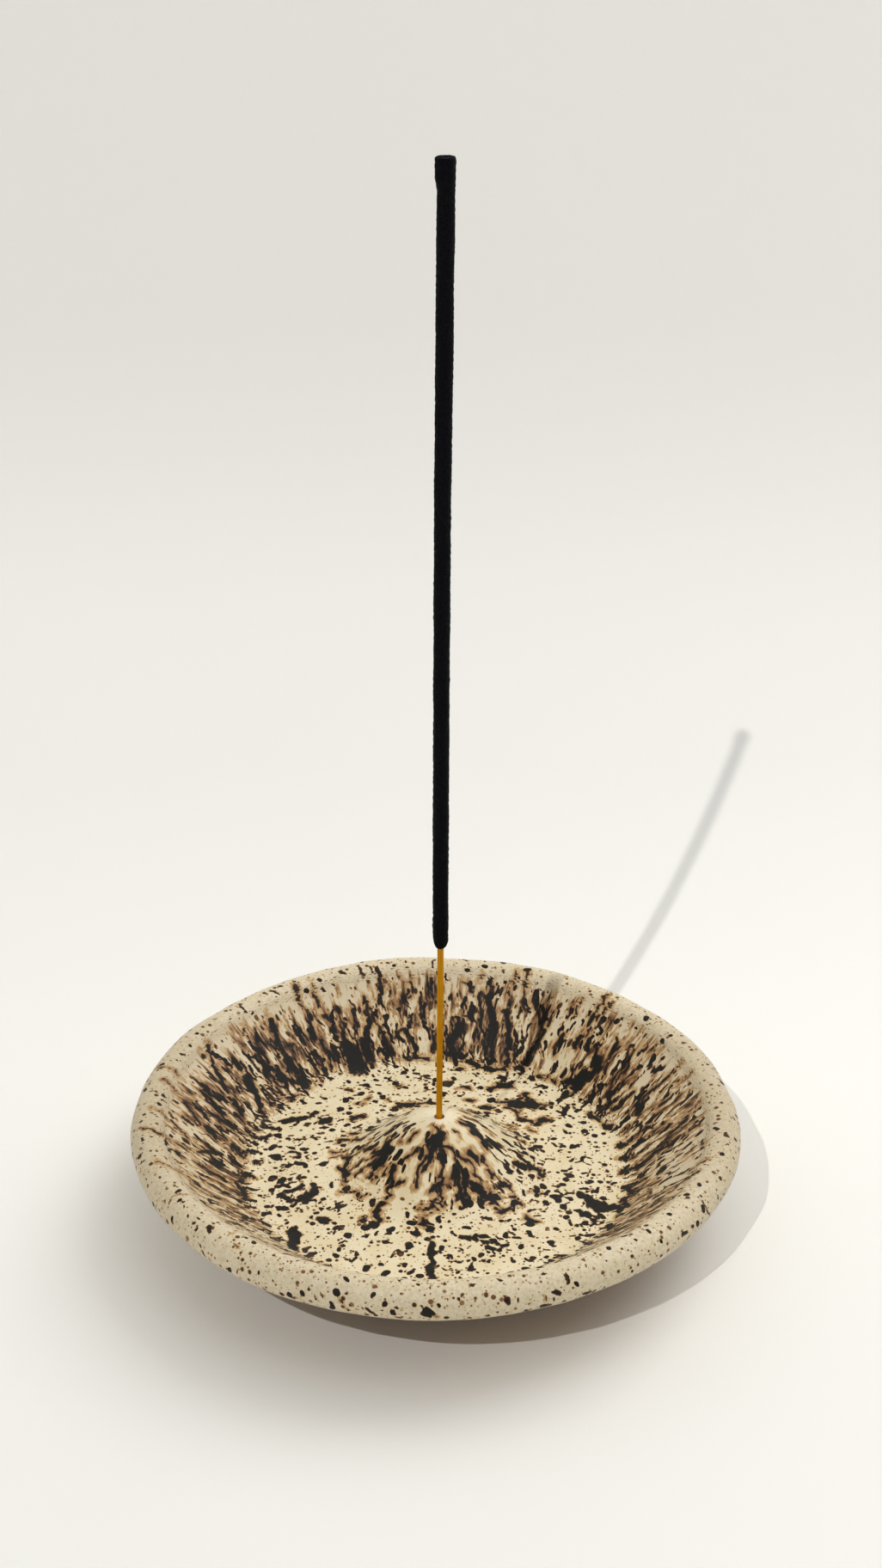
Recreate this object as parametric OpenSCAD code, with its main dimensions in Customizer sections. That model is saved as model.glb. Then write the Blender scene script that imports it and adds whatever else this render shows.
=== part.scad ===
// Incense burner: a shallow round stoneware dish with a thick rolled rim and a
// bell-shaped mound in the middle.  A blind hole in the mound holds one hand-rolled
// incense stick upright, and the dish around the mound catches the ash.
// Millimetres, +Z up, origin at the centre of the foot ring on the table.

/* [Dish] */
// Diameter of the dish over the rolled rim
dish_d = 138; // [120:1:160]
// Height of the top of the rim above the table
dish_h = 26.8; // [25:0.2:32]
// Thickness of the rolled rim
rim_t = 8.4; // [7.4:0.2:9.4]
// Radius at which the sloping wall meets the floor of the dish
floor_r = 44; // [40:0.5:46]
// Height of the glazed floor above the table, where the wall starts
floor_h = 9.4; // [8.6:0.1:10.4]
// Thickness of the sloping wall
wall_t = 5.2; // [4.6:0.1:6]

/* [Mound] */
// Height of the lip of the stick hole above the table
mound_h = 23.5; // [20:0.1:25]
// Radius of the foot of the mound on the floor
mound_r = 26; // [20:0.5:30]
// Radius of the flat lip round the stick hole
lip_r = 1.7; // [1.6:0.1:2.4]
// How slim the bell shape of the mound is, 1 being an even wave
bell_power = 1.0; // [0.8:0.05:1.6]
// Diameter of the stick hole
hole_d = 2.1; // [2:0.05:2.4]
// Depth of the stick hole below the lip
hole_depth = 13.2; // [10:0.2:14]

/* [Foot] */
// Outer diameter of the foot ring
foot_d = 72; // [66:1:76]
// Width of the foot ring's face
foot_w = 6; // [4:0.5:8]
// Height of the hollow inside the foot ring
foot_h = 3; // [2.4:0.2:3.4]

/* [Glaze] */
// Thickness of the glaze coat
glaze_t = 0.6; // [0.5:0.1:0.8]
// Height at which the glaze stops on the outside, above the bare foot
glaze_stop_h = 4.6; // [4.2:0.1:5.4]

/* [Incense stick] */
// Diameter of the bamboo core
core_d = 1.3; // [1.2:0.05:1.5]
// Whole length of the bamboo core
core_l = 229.2; // [215:0.2:240]
// Length of bare bamboo below the paste
bare_l = 57.4; // [50:0.2:66]
// Diameter of the incense paste
paste_d = 3.38; // [2.8:0.02:3.8]
// Diameter of the thicker tip of the paste
tip_d = 3.96; // [3.8:0.02:4.4]
// Length of the thicker tip
tip_l = 3.4; // [2:0.1:6]
// Length of the tapered start of the paste
taper_l = 3.2; // [2:0.1:5]

/* [Hidden] */

fn_round = 96;                          // circles, exact in the solid model
hole_r = hole_d / 2;
hole_z = mound_h - hole_depth;          // bottom of the blind stick hole
foot_r = foot_d / 2;
roll_r = rim_t / 2;                     // radius of the rim's round section
roll_c = [dish_d / 2 - roll_r, dish_h - roll_r];
crest_a = 150;                          // where the wall runs into the roll
tuck_a = -125;                          // where the underside leaves the roll
mound_steps = 12;
bend_steps = 5;
roll_steps = 22;
under_steps = 9;
bend = 3.2;                             // reach of the rounded floor corner

function on_roll(a) = roll_c + roll_r * [cos(a), sin(a)];

// Direction of the sloping wall, from the floor up to the roll
corner = [floor_r, floor_h];
wall_u = (on_roll(crest_a) - corner) / norm(on_roll(crest_a) - corner);

// Height of the glazed surface over the mound at radius r
function mound_z(r) = floor_h + 0.5 + (mound_h - floor_h - 0.5)
    * pow(0.5 + 0.5 * cos(180 * min(1, max(0, r - lip_r) / (mound_r - lip_r))), bell_power);

// Quadratic curve from a to c that is pulled towards b
function curve(a, b, c, t) = (1 - t) * (1 - t) * a + 2 * t * (1 - t) * b + t * t * c;

// Glazed surface: over the mound, the floor, the wall, the roll and down the
// outside to the glaze line just above the foot
glaze_end = [foot_r + 1.2, glaze_stop_h];
skin = concat(
    [for (i = [0 : mound_steps])
        let (r = lip_r + (mound_r - lip_r) * pow(i / mound_steps, 1.4)) [r, mound_z(r)]],
    [for (i = [0 : bend_steps])
        curve(corner - [bend, 0], corner, corner + bend * wall_u, i / bend_steps)],
    [for (i = [0 : roll_steps]) on_roll(crest_a + (tuck_a - crest_a) * i / roll_steps)],
    [for (i = [1 : under_steps])
        curve(on_roll(tuck_a), corner + wall_t * [1.55, -0.6], glaze_end, i / under_steps)]);

// The same surface set in by the glaze's thickness, which is the bare clay
function along(p, i) = let (a = p[max(0, i - 1)], b = p[min(len(p) - 1, i + 1)]) (b - a) / norm(b - a);
function set_in(p, i, d) = let (u = along(p, i)) p[i] + d * [u[1], -u[0]];
clay = concat([[lip_r, mound_h - glaze_t]], [for (i = [1 : len(skin) - 1]) set_in(skin, i, glaze_t)]);

// Fired stoneware: wall, rim, mound and foot ring in one thrown piece, with the
// blind stick hole down the mound's axis
module dish_body() {
    color("peru") rotate_extrude($fn = fn_round) polygon(concat(
        [[0, hole_z], [hole_r, hole_z], [hole_r, mound_h - glaze_t]],
        clay,
        [[foot_r + 0.5, 3.4], [foot_r, 0.8], [foot_r - 0.8, 0], [foot_r - foot_w + 0.5, 0],
         [foot_r - foot_w, 0.5], [foot_r - foot_w, foot_h - 0.8], [foot_r - foot_w - 1, foot_h],
         [0, foot_h]]));
}

// Speckled glaze, fused to the clay from the lip of the hole to just above the foot
module glaze_coat() {
    color("antiquewhite") rotate_extrude($fn = fn_round) polygon(concat(
        [[hole_r, mound_h - glaze_t], [hole_r, mound_h]],
        skin,
        [for (i = [len(clay) - 1 : -1 : 0]) clay[i]]));
}

// Dyed bamboo splint, standing on the bottom of the hole
module bamboo_core() {
    color("goldenrod") translate([0, 0, hole_z])
        cylinder(r = core_d / 2, h = core_l, $fn = fn_round);
}

// Rolled charcoal paste round the splint, tapered at its start, thicker at its tip
module incense_paste() {
    z0 = hole_z + bare_l;
    z1 = hole_z + core_l - 0.4;
    c = core_d / 2;
    p = paste_d / 2;
    t = tip_d / 2;
    color("black") rotate_extrude($fn = fn_round) polygon(concat(
        [[c, z0]],
        [for (i = [0 : 6]) let (a = 15 * i) [c + 0.25 + (p - c - 0.25) * sin(a), z0 + taper_l * (1 - cos(a))]],
        [[p, z1 - tip_l - 2.2], [t - 0.06, z1 - tip_l], [t, z1 - tip_l * 0.5], [t - 0.1, z1 - 0.35],
         [t - 0.45, z1], [c, z1]]));
}

dish_body();
glaze_coat();
bamboo_core();
incense_paste();
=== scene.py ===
import math

import bpy
import numpy as np
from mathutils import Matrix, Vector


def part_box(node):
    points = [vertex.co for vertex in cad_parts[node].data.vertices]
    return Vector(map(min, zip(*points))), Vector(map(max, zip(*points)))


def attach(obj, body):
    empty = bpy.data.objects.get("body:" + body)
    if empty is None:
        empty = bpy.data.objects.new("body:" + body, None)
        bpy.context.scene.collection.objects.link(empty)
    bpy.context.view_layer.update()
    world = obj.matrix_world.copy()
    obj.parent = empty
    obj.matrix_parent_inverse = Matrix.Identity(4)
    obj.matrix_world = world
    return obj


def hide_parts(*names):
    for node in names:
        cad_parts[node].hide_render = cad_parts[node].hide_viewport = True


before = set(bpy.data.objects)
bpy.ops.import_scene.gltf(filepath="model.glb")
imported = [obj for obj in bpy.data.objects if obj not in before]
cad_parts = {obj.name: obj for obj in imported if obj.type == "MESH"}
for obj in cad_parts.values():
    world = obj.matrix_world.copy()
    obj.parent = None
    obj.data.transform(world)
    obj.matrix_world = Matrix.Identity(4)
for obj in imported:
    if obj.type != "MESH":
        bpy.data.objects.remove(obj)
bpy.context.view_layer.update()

# ---------------------------------------------------------------------------
# sizes: read from the CAD frame where it has them, in millimetres
# ---------------------------------------------------------------------------
MM = 0.001
g_lo, g_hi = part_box("glaze_coat")
b_lo, b_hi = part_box("bamboo_core")
p_lo, p_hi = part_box("incense_paste")
R_OUT = g_hi.x / MM                 # 69, outside of the rolled rim
Z_RIM = g_hi.z / MM                 # 26.8, top of the rim
Z_STOP = g_lo.z / MM                # 4.6, where the glaze stops above the foot
Z_HOLE = b_lo.z / MM                # 10.3, bottom of the stick hole
ROLL = 4.2                          # radius of the rolled rim's section
ROLL_C = (R_OUT - ROLL, Z_RIM - ROLL)
FLOOR_R, FLOOR_Z = 44.0, 9.4
MOUND_R, MOUND_Z, LIP_R, HOLE_R = 26.0, 23.5, 1.7, 1.05
FOOT_R = 36.0
GLAZE_T = 0.6


def smooth(x, a, b):
    t = np.clip((np.asarray(x, float) - a) / (b - a), 0, 1)
    return t * t * (3 - 2 * t)


class Waves:
    """Smooth deterministic noise: a sum of plane waves with seeded directions."""

    def __init__(self, seed, size, dims=3, octaves=3, count=22, gain=0.55):
        rs = np.random.RandomState(seed)
        self.k, self.p, self.a = [], [], []
        for o in range(octaves):
            d = rs.normal(size=(count, dims))
            d /= np.linalg.norm(d, axis=1)[:, None]
            f = rs.uniform(0.7, 1.3, (count, 1)) * 2 * math.pi / size * 2**o
            self.k.append(d * f)
            self.p.append(rs.uniform(0, 2 * math.pi, count))
            self.a.append(np.full(count, gain**o * math.sqrt(2.0 / count)))
        self.k, self.p, self.a = np.concatenate(self.k), np.concatenate(self.p), np.concatenate(self.a)

    def __call__(self, x):
        out = np.zeros(len(x))
        for i in range(0, len(x), 20000):
            out[i : i + 20000] = np.cos(x[i : i + 20000] @ self.k.T + self.p) @ self.a
        return out


# ---------------------------------------------------------------------------
# the dish's section, glazed surface, from the lip of the hole to the glaze line
# ---------------------------------------------------------------------------
def on_roll(deg):
    a = math.radians(deg)
    return (ROLL_C[0] + ROLL * math.cos(a), ROLL_C[1] + ROLL * math.sin(a))


def curve(a, b, c, n):
    t = np.linspace(0, 1, n)[:, None]
    a, b, c = map(np.array, (a, b, c))
    return (1 - t) ** 2 * a + 2 * t * (1 - t) * b + t * t * c


def dish_section():
    pts = [(HOLE_R, MOUND_Z - 0.55), (HOLE_R + 0.03, MOUND_Z - 0.22), (HOLE_R + 0.16, MOUND_Z - 0.05), (HOLE_R + 0.36, MOUND_Z)]
    for i in range(0, 61):
        r = LIP_R + (MOUND_R - LIP_R) * (i / 60) ** 1.3
        z = FLOOR_Z + 0.5 + (MOUND_Z - FLOOR_Z - 0.5) * (0.5 + 0.5 * math.cos(math.pi * (r - LIP_R) / (MOUND_R - LIP_R)))
        pts.append((r, z))
    top = on_roll(150)
    u = np.array(top) - (FLOOR_R, FLOOR_Z)
    u /= np.linalg.norm(u)
    pts += [tuple(q) for q in curve((FLOOR_R - 3.2, FLOOR_Z + 0.02), (FLOOR_R, FLOOR_Z), np.array((FLOOR_R, FLOOR_Z)) + 3.2 * u, 14)]
    n_crest = len(pts)
    pts += [on_roll(a) for a in np.linspace(150, -125, 90)]
    end = (FOOT_R + 1.2, Z_STOP)
    pts += [tuple(q) for q in curve(on_roll(-125), (FLOOR_R + 8.06, FLOOR_Z - 3.12), end, 40)[1:]]
    return np.array(pts)


def resample(p, step):
    d = np.r_[0, np.cumsum(np.linalg.norm(np.diff(p, axis=0), axis=1))]
    n = int(round(d[-1] / step))
    t = np.linspace(0, d[-1], n + 1)
    return np.stack([np.interp(t, d, p[:, 0]), np.interp(t, d, p[:, 1])], 1), t


def soften(p, sigma_pts):
    """Gaussian smoothing of a section that keeps its two ends."""
    k = np.arange(-4 * sigma_pts, 4 * sigma_pts + 1)
    w = np.exp(-0.5 * (k / sigma_pts) ** 2)
    w /= w.sum()
    n = len(k) // 2
    q = np.concatenate([2 * p[0] - p[n:0:-1], p, 2 * p[-1] - p[-2 : -n - 2 : -1]])
    return np.stack([np.convolve(q[:, i], w, "valid") for i in (0, 1)], 1)


fine, s_fine = resample(dish_section(), 0.05)
head = s_fine < 2.0
soft = soften(fine, 9)
blend = smooth(s_fine, 1.2, 3.0)[:, None]
fine = fine * (1 - blend) + soft * blend
S_END = s_fine[-1]
I_RIM = int(np.argmax(fine[:, 0]))
S_RIM = s_fine[I_RIM]                                  # the outermost line
top_part = fine[:I_RIM]
S_CREST = s_fine[:I_RIM][np.argmin(np.abs(top_part[:, 0] - on_roll(150)[0]))]
S_FLOOR = s_fine[:I_RIM][np.argmin(np.abs(top_part[:, 0] - FLOOR_R))]
S_MOUND = s_fine[:I_RIM][np.argmin(np.abs(top_part[:, 0] - MOUND_R))]


def section_at(s):
    s = np.asarray(s, float)
    return np.stack([np.interp(s, s_fine, fine[:, 0]), np.interp(s, s_fine, fine[:, 1])], -1)


def section_normal(s):
    d = section_at(np.clip(np.asarray(s) + 0.06, 0, S_END)) - section_at(np.clip(np.asarray(s) - 0.06, 0, S_END))
    d /= np.linalg.norm(d, axis=-1)[..., None]
    return np.stack([-d[..., 1], d[..., 0]], -1)       # away from the clay


WOB_A = Waves(11, 34.0)
WOB_B = Waves(12, 9.0, octaves=2)
WOB_C = Waves(13, 60.0, octaves=1)


def wobble(p):
    """What the potter's hands leave: the turned shape bent by fractions of a millimetre. p is in mm."""
    r = np.hypot(p[:, 0], p[:, 1])
    th = np.arctan2(p[:, 1], p[:, 0])
    rim = smooth(r, 30, 64)
    up = smooth(p[:, 2], 4.7, 8.0)
    dr = 0.26 * np.cos(th - math.radians(188)) + 0.17 * np.cos(2 * th - 4.0) + 0.12 * np.cos(3 * th + 0.6)
    dr += 0.05 * np.cos(5 * th + 2.0) + 0.035 * np.cos(9 * th + 1.0)
    dz = 0.16 * np.cos(2 * th + 0.9) + 0.13 * np.cos(3 * th + 2.2) + 0.07 * np.cos(5 * th + 4.0)
    c, s = np.cos(th), np.sin(th)
    edge = smooth(r, 55, 66)
    q = p.copy()
    soft_noise = WOB_A(p * (1, 1, 1.4))
    lump = WOB_B(p)
    dr = dr * rim + edge * 0.10 * soft_noise
    q[:, 0] += (-0.62 * rim + c * dr) * up
    q[:, 1] += s * dr * up
    q[:, 2] += up * (dz * rim + 0.05 * soft_noise * smooth(r, 2.5, 9) + 0.022 * lump * smooth(r, 3, 8) + 0.09 * edge * WOB_C(p * (2, 2, 1)))
    return q


# ---------------------------------------------------------------------------
# pigment in the glaze: strokes whose ends were read off and turned into millimetres, and seeded spatter
# ---------------------------------------------------------------------------
# strokes on the mound and the floor: half width, then points (x, y) in millimetres
MOUND_MARKS = [
    (1.2, (-11.8, -2.8), (-12, -5), (-12.5, -6.8)), (1, (-13.1, -4.9), (-12.7, -6.9)), (0.5, (-11.9, -1.1), (-11.8, -2.8)),
    (0.7, (-14.7, -2.6), (-13.1, -4.1)), (0.7, (-15.1, -4.2), (-13.2, -5.8)), (0.3, (-13.2, -3.3), (-17.3, 0.4), (-18.6, 0.7)),
    (0.35, (-13.5, -4.8), (-16.4, -3.5), (-18.9, -2.6), (-20.8, -4)), (0.35, (-13.2, -6.5), (-16.6, -5.8), (-17.6, -6.3), (-18.8, -6)),
    (0.35, (-12.9, -7.1), (-15, -7.7), (-16.6, -8.4)), (0.35, (-12.5, -7.6), (-14.1, -9.3), (-15, -10.7)),
    (0.35, (-12.2, -7.8), (-12.2, -9.7), (-12.8, -10.3)), (0.7, (-10.5, -10), (-10.8, -11.3), (-10.9, -12.9)),
    (0.6, (-10.9, -12.9), (-11.2, -14.5), (-11.6, -16.1)), (0.6, (-10.9, -13.4), (-9.7, -13.3), (-8.1, -13.6)), (0.7, (-22.1, -2.3), (-23.4, -1.6)),
    (0.7, (-21.2, -0.7), (-21.8, -2.5), (-21.3, -6), (-21, -7.5)), (0.35, (-25.5, 2.9), (-22.3, 2.8), (-20.9, 0.7)), (0.5, (-24.3, 5.3), (-22, 4.4)),
    (0.7, (-23.2, 9.5), (-21.2, 9.2)), (0.8, (-19.9, 8.7), (-18.1, 7.1)), (0.4, (-18.6, 2.5), (-16.2, 2.3)), (0.6, (-20.7, 13.1), (-19.1, 12)),
    (0.4, (-0.6, -3.7), (-0.6, -5.2)), (1.7, (-1, -6.5), (-1.1, -8.2)), (0.9, (-2.6, -6.9), (-2.8, -8)), (0.9, (0.4, -6.2), (0.7, -8)),
    (0.6, (-2, -9), (-3.9, -10.7), (-4.5, -12), (-4.8, -13.7), (-5.4, -15.3)), (0.7, (-2, -10), (-2.3, -11.6), (-3.2, -12.5)),
    (0.4, (-0.8, -9.6), (-1.4, -10.5), (-1.9, -11.7)), (0.4, (-3.6, -8.1), (-5.1, -8.8), (-6.6, -9.2)), (0.7, (-6.6, -9), (-7.6, -9.4), (-8.9, -9.6)),
    (0.5, (0.6, -9), (0.6, -10.6), (0.4, -12.2), (0.3, -13.7), (1.3, -14.8)), (0.8, (1.3, -14.6), (1, -15.5), (-1.7, -16.2)),
    (0.5, (1, -15.5), (0.7, -16.7), (0.1, -17.7)), (0.35, (-0.5, -10.6), (0.1, -11.3), (0.4, -12.2)),
    (0.5, (1.4, -8.2), (2.6, -8.6), (3.7, -9.7), (4.4, -10.8), (3.5, -12.7), (2.9, -14.7)), (0.6, (4.4, -10.8), (4.7, -12), (4.1, -14.3)),
    (0.3, (4.7, -11.3), (5, -12.4), (5.2, -14.1)), (1.1, (5.9, -13), (6.1, -13.9), (6.2, -14.9)), (0.7, (5.9, -15.7), (6.2, -16.1)),
    (0.8, (4.1, -14.8), (4.4, -16.2), (4.2, -17.7)), (0.9, (7.2, -14.6), (9, -14.9), (11.1, -15.4)), (1.2, (11.4, -15), (13, -15.1)),
    (0.6, (9, -17), (11.4, -16.1), (11.7, -17)), (0.4, (4.7, -9.5), (7.2, -10.6), (7.9, -11.3), (8.4, -12.2), (9.3, -13)),
    (0.9, (7, -8.4), (7.8, -9)), (0.6, (9.2, -8), (9.5, -8.2)), (0.4, (10.9, -10.4), (11.8, -11.1), (12.4, -10.5)),
    (0.5, (14.6, -11.2), (16.1, -11.8)), (0.9, (-12.8, -17), (-13.9, -18.2), (-14.2, -19.7), (-13.2, -21.5)), (0.6, (-3.2, -20.1), (-4.4, -19.1)),
    (0.6, (-3.2, -20.1), (-1.1, -19.2)), (0.8, (-3.8, -22), (-3.5, -22.7)), (0.7, (0.3, -18.4), (0.6, -18.6)), (0.8, (13.5, -18.8), (16, -17)),
    (0.6, (16.5, -13.8), (17.9, -15.3)), (0.9, (19.6, -20), (21.3, -22)), (0.8, (18.5, -3.8), (20.1, -2.6)), (1.1, (18.5, -3.8), (21.1, -2.4)),
    (1.1, (22.6, -3), (23.5, -4.2)), (0.6, (21.1, -10.6), (22.1, -10.6)), (0.7, (-22, -10.4), (-21, -10.6)), (0.4, (-17.4, -13.1), (-16.8, -13.4)),
    (0.4, (-19.3, -11.4), (-18.4, -11.8)), (0.5, (-17.5, -20.2), (-16.6, -20.3)), (1, (-9.3, 25), (-6.7, 25.3)), (0.5, (-10.7, 23.6), (-9, 24.1)),
    (0.7, (-5.2, 25.6), (-2.7, 26.1)), (0.25, (-2.7, 25.8), (-0.8, 26)), (0.35, (-9.2, 18.2), (-7.4, 5.3)),
    (0.8, (-20.3, 18.8), (-19.3, 20.1), (-17.9, 20.1)), (0.5, (9.6, 24.2), (12.7, 23.6)), (0.8, (10.8, 24.5), (11.5, 24.4)),
    (2.2, (18.1, 25.8), (22.2, 25.8)), (0.9, (20.8, 30.7), (20.7, 28.4)), (0.6, (14.7, 26.7), (16.9, 26.1)), (0.6, (23.8, 26.1), (25.7, 25.6)),
    (0.7, (16.2, 23.9), (18, 22.7)), (0.9, (19.2, 18.8), (21.6, 18), (23.5, 17.7)), (0.9, (23.5, 18.3), (25.8, 19.4)),
    (0.5, (18.7, 22.7), (18.7, 19.4)), (0.7, (5.2, 32.4), (7.1, 32.3)), (0.6, (6.8, 27.3), (8, 27)), (1.5, (14.5, 33.9), (17.1, 34.2)),
    (0.8, (12.2, 32.7), (13.5, 33.3)), (0.9, (5.4, -1.5), (7.8, -2.1)), (0.8, (7.2, -2.8), (9.3, -3.6), (10.7, -5.5)),
    (0.3, (6.2, 1.4), (9.2, 2.1), (10.7, 1), (11.9, 0.8)), (0.25, (4.8, 4.1), (7.1, 4.6)), (0.25, (7.3, 22.1), (9.2, 20.6)),
    (0.4, (15, 15), (17.8, 15.2)), (0.4, (15.9, 12.6), (17.7, 12.7)), (0.6, (18.2, 7.4), (20, 7.2)), (0.3, (3.7, -5), (4.6, -5.7)),
    (0.35, (-6.7, -5.4), (-5.5, -5.1)), (0.25, (-8.7, -4.4), (-8.5, -5.2)), (0.3, (-12.5, 1.2), (-11.6, 0.5)), (0.3, (-16.1, 8.9), (-14.7, 9.5)),
    (0.3, (-17.9, 28.1), (-17, 28.2)), (0.35, (-19.4, 26.1), (-19.3, 26.1)), (0.35, (-18.2, 26.2), (-17.9, 26.2)), (0.5, (-10.4, 33.3), (-9.1, 33.6)),
    (0.4, (-12.8, 27.4), (-12.4, 27.4)), (0.4, (-2.7, 31.8), (-2.6, 32.1)), (0.6, (-22.5, 32.1), (-21.5, 31.8)), (0.5, (2, 35.4), (2.7, 35.4)),
    (0.6, (21.5, 14.7), (22.7, 13.9)),
]
FLOOR_MARKS = [
    (0.8, (-40.8, -21.6), (-39.1, -22.7)), (1.5, (-32.2, -23.9), (-27.5, -108.7)), (0.7, (-31.1, -108.1), (-29.8, -108.4)),
    (0.7, (-29.3, -108.7), (-28.9, -108.9)), (0.7, (-24.4, -109.3), (-24.2, -109.5)), (0.5, (-44.7, 0.7), (-44.5, 0.7)),
    (0.9, (-42.2, 1.7), (-41.2, 2.3)), (0.6, (-45, 12.6), (-43.3, 13.5)), (0.7, (-41.4, 15.4), (-37.7, 15.4)), (1, (-36.8, 18.7), (-32.3, 19.9)),
    (0.6, (-43.2, 10.8), (-39.1, 13)), (1.4, (-27.6, 18.4), (-26.7, 18.4)), (0.7, (-30.5, 21.1), (-29.1, 22.4)), (0.6, (-31.1, 17.2), (-30.9, 17.1)),
    (0.8, (-34.5, 6.1), (-33, 4.9)), (0.6, (-33.7, 11), (-31.5, 11.3)), (0.5, (-29.5, 10.6), (-29.3, 10.5)), (0.8, (-35.8, -5.1), (-35.4, -5.2)),
    (0.5, (-36.2, -1.5), (-36, -1.6)), (0.6, (-32.2, -4.1), (-31.2, -6.2)), (0.9, (-34.6, -9.9), (-30.9, -7.9)), (0.9, (-33, -12.8), (-30.9, -13)),
    (1.1, (-29, -11.2), (-28.3, -8.9)), (0.5, (-27.8, -8.3), (-26.6, -8.8)), (1, (-26.1, -20.5), (-25.1, -20.5)), (1, (-2.9, -24.5), (-1.8, -24.8)),
    (0.8, (-4.4, -109.3), (-1.3, -109.4)), (0.9, (-1.7, -28.5), (-1, -109)), (0.7, (-6.3, -109.8), (-5.3, -110)), (1.3, (-2.6, -110.1), (-2, -110.4)),
    (0.7, (-2.6, -110.8), (-2.4, -111)), (0.8, (-0.9, -110.2), (1.1, -110)), (1, (4.9, -26.9), (6.3, -26.9)), (0.9, (12, -109), (13.2, -108.9)),
    (1.2, (13.8, -108.7), (15.1, -108.6)), (1.6, (22.5, -109.2), (23.8, -109.6)), (0.7, (29, -108.3), (30.2, -108.1)),
    (0.7, (27.3, -108.3), (27.6, -108.3)), (1.2, (31.8, -10.8), (32.8, -11.7)), (1.9, (34, -13), (36.3, -15.3)), (1.4, (37.2, -16.1), (39.9, -15.6)),
    (0.6, (30.4, -16.8), (34.6, -20.5)), (0.8, (17.9, -110), (19.5, -110.6)), (0.8, (7.6, -110.8), (9.7, -111.2)),
    (0.6, (5.6, -109.6), (6.3, -109.8)), (0.6, (4.9, -110.7), (4.9, -110.9)), (0.9, (-17.6, -110.6), (-16.8, -110.7)),
    (0.8, (-16.6, -108.7), (-15.4, -108.7)), (0.6, (-16.3, -26.1), (-15.9, -26.2)), (1.6, (-30.3, -11.9), (-29.1, -11)),
    (0.6, (-15, -22.9), (-14.7, -22.9)), (0.5, (-6.8, -111.1), (-6.2, -110.9)), (0.6, (0.9, -111.2), (1.1, -111.3)),
    (0.6, (10.6, -110.4), (10.9, -110.7)), (1, (14.6, -110.5), (15.7, -111.1)), (0.8, (16, -111), (17.6, -110.9)),
]
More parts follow.
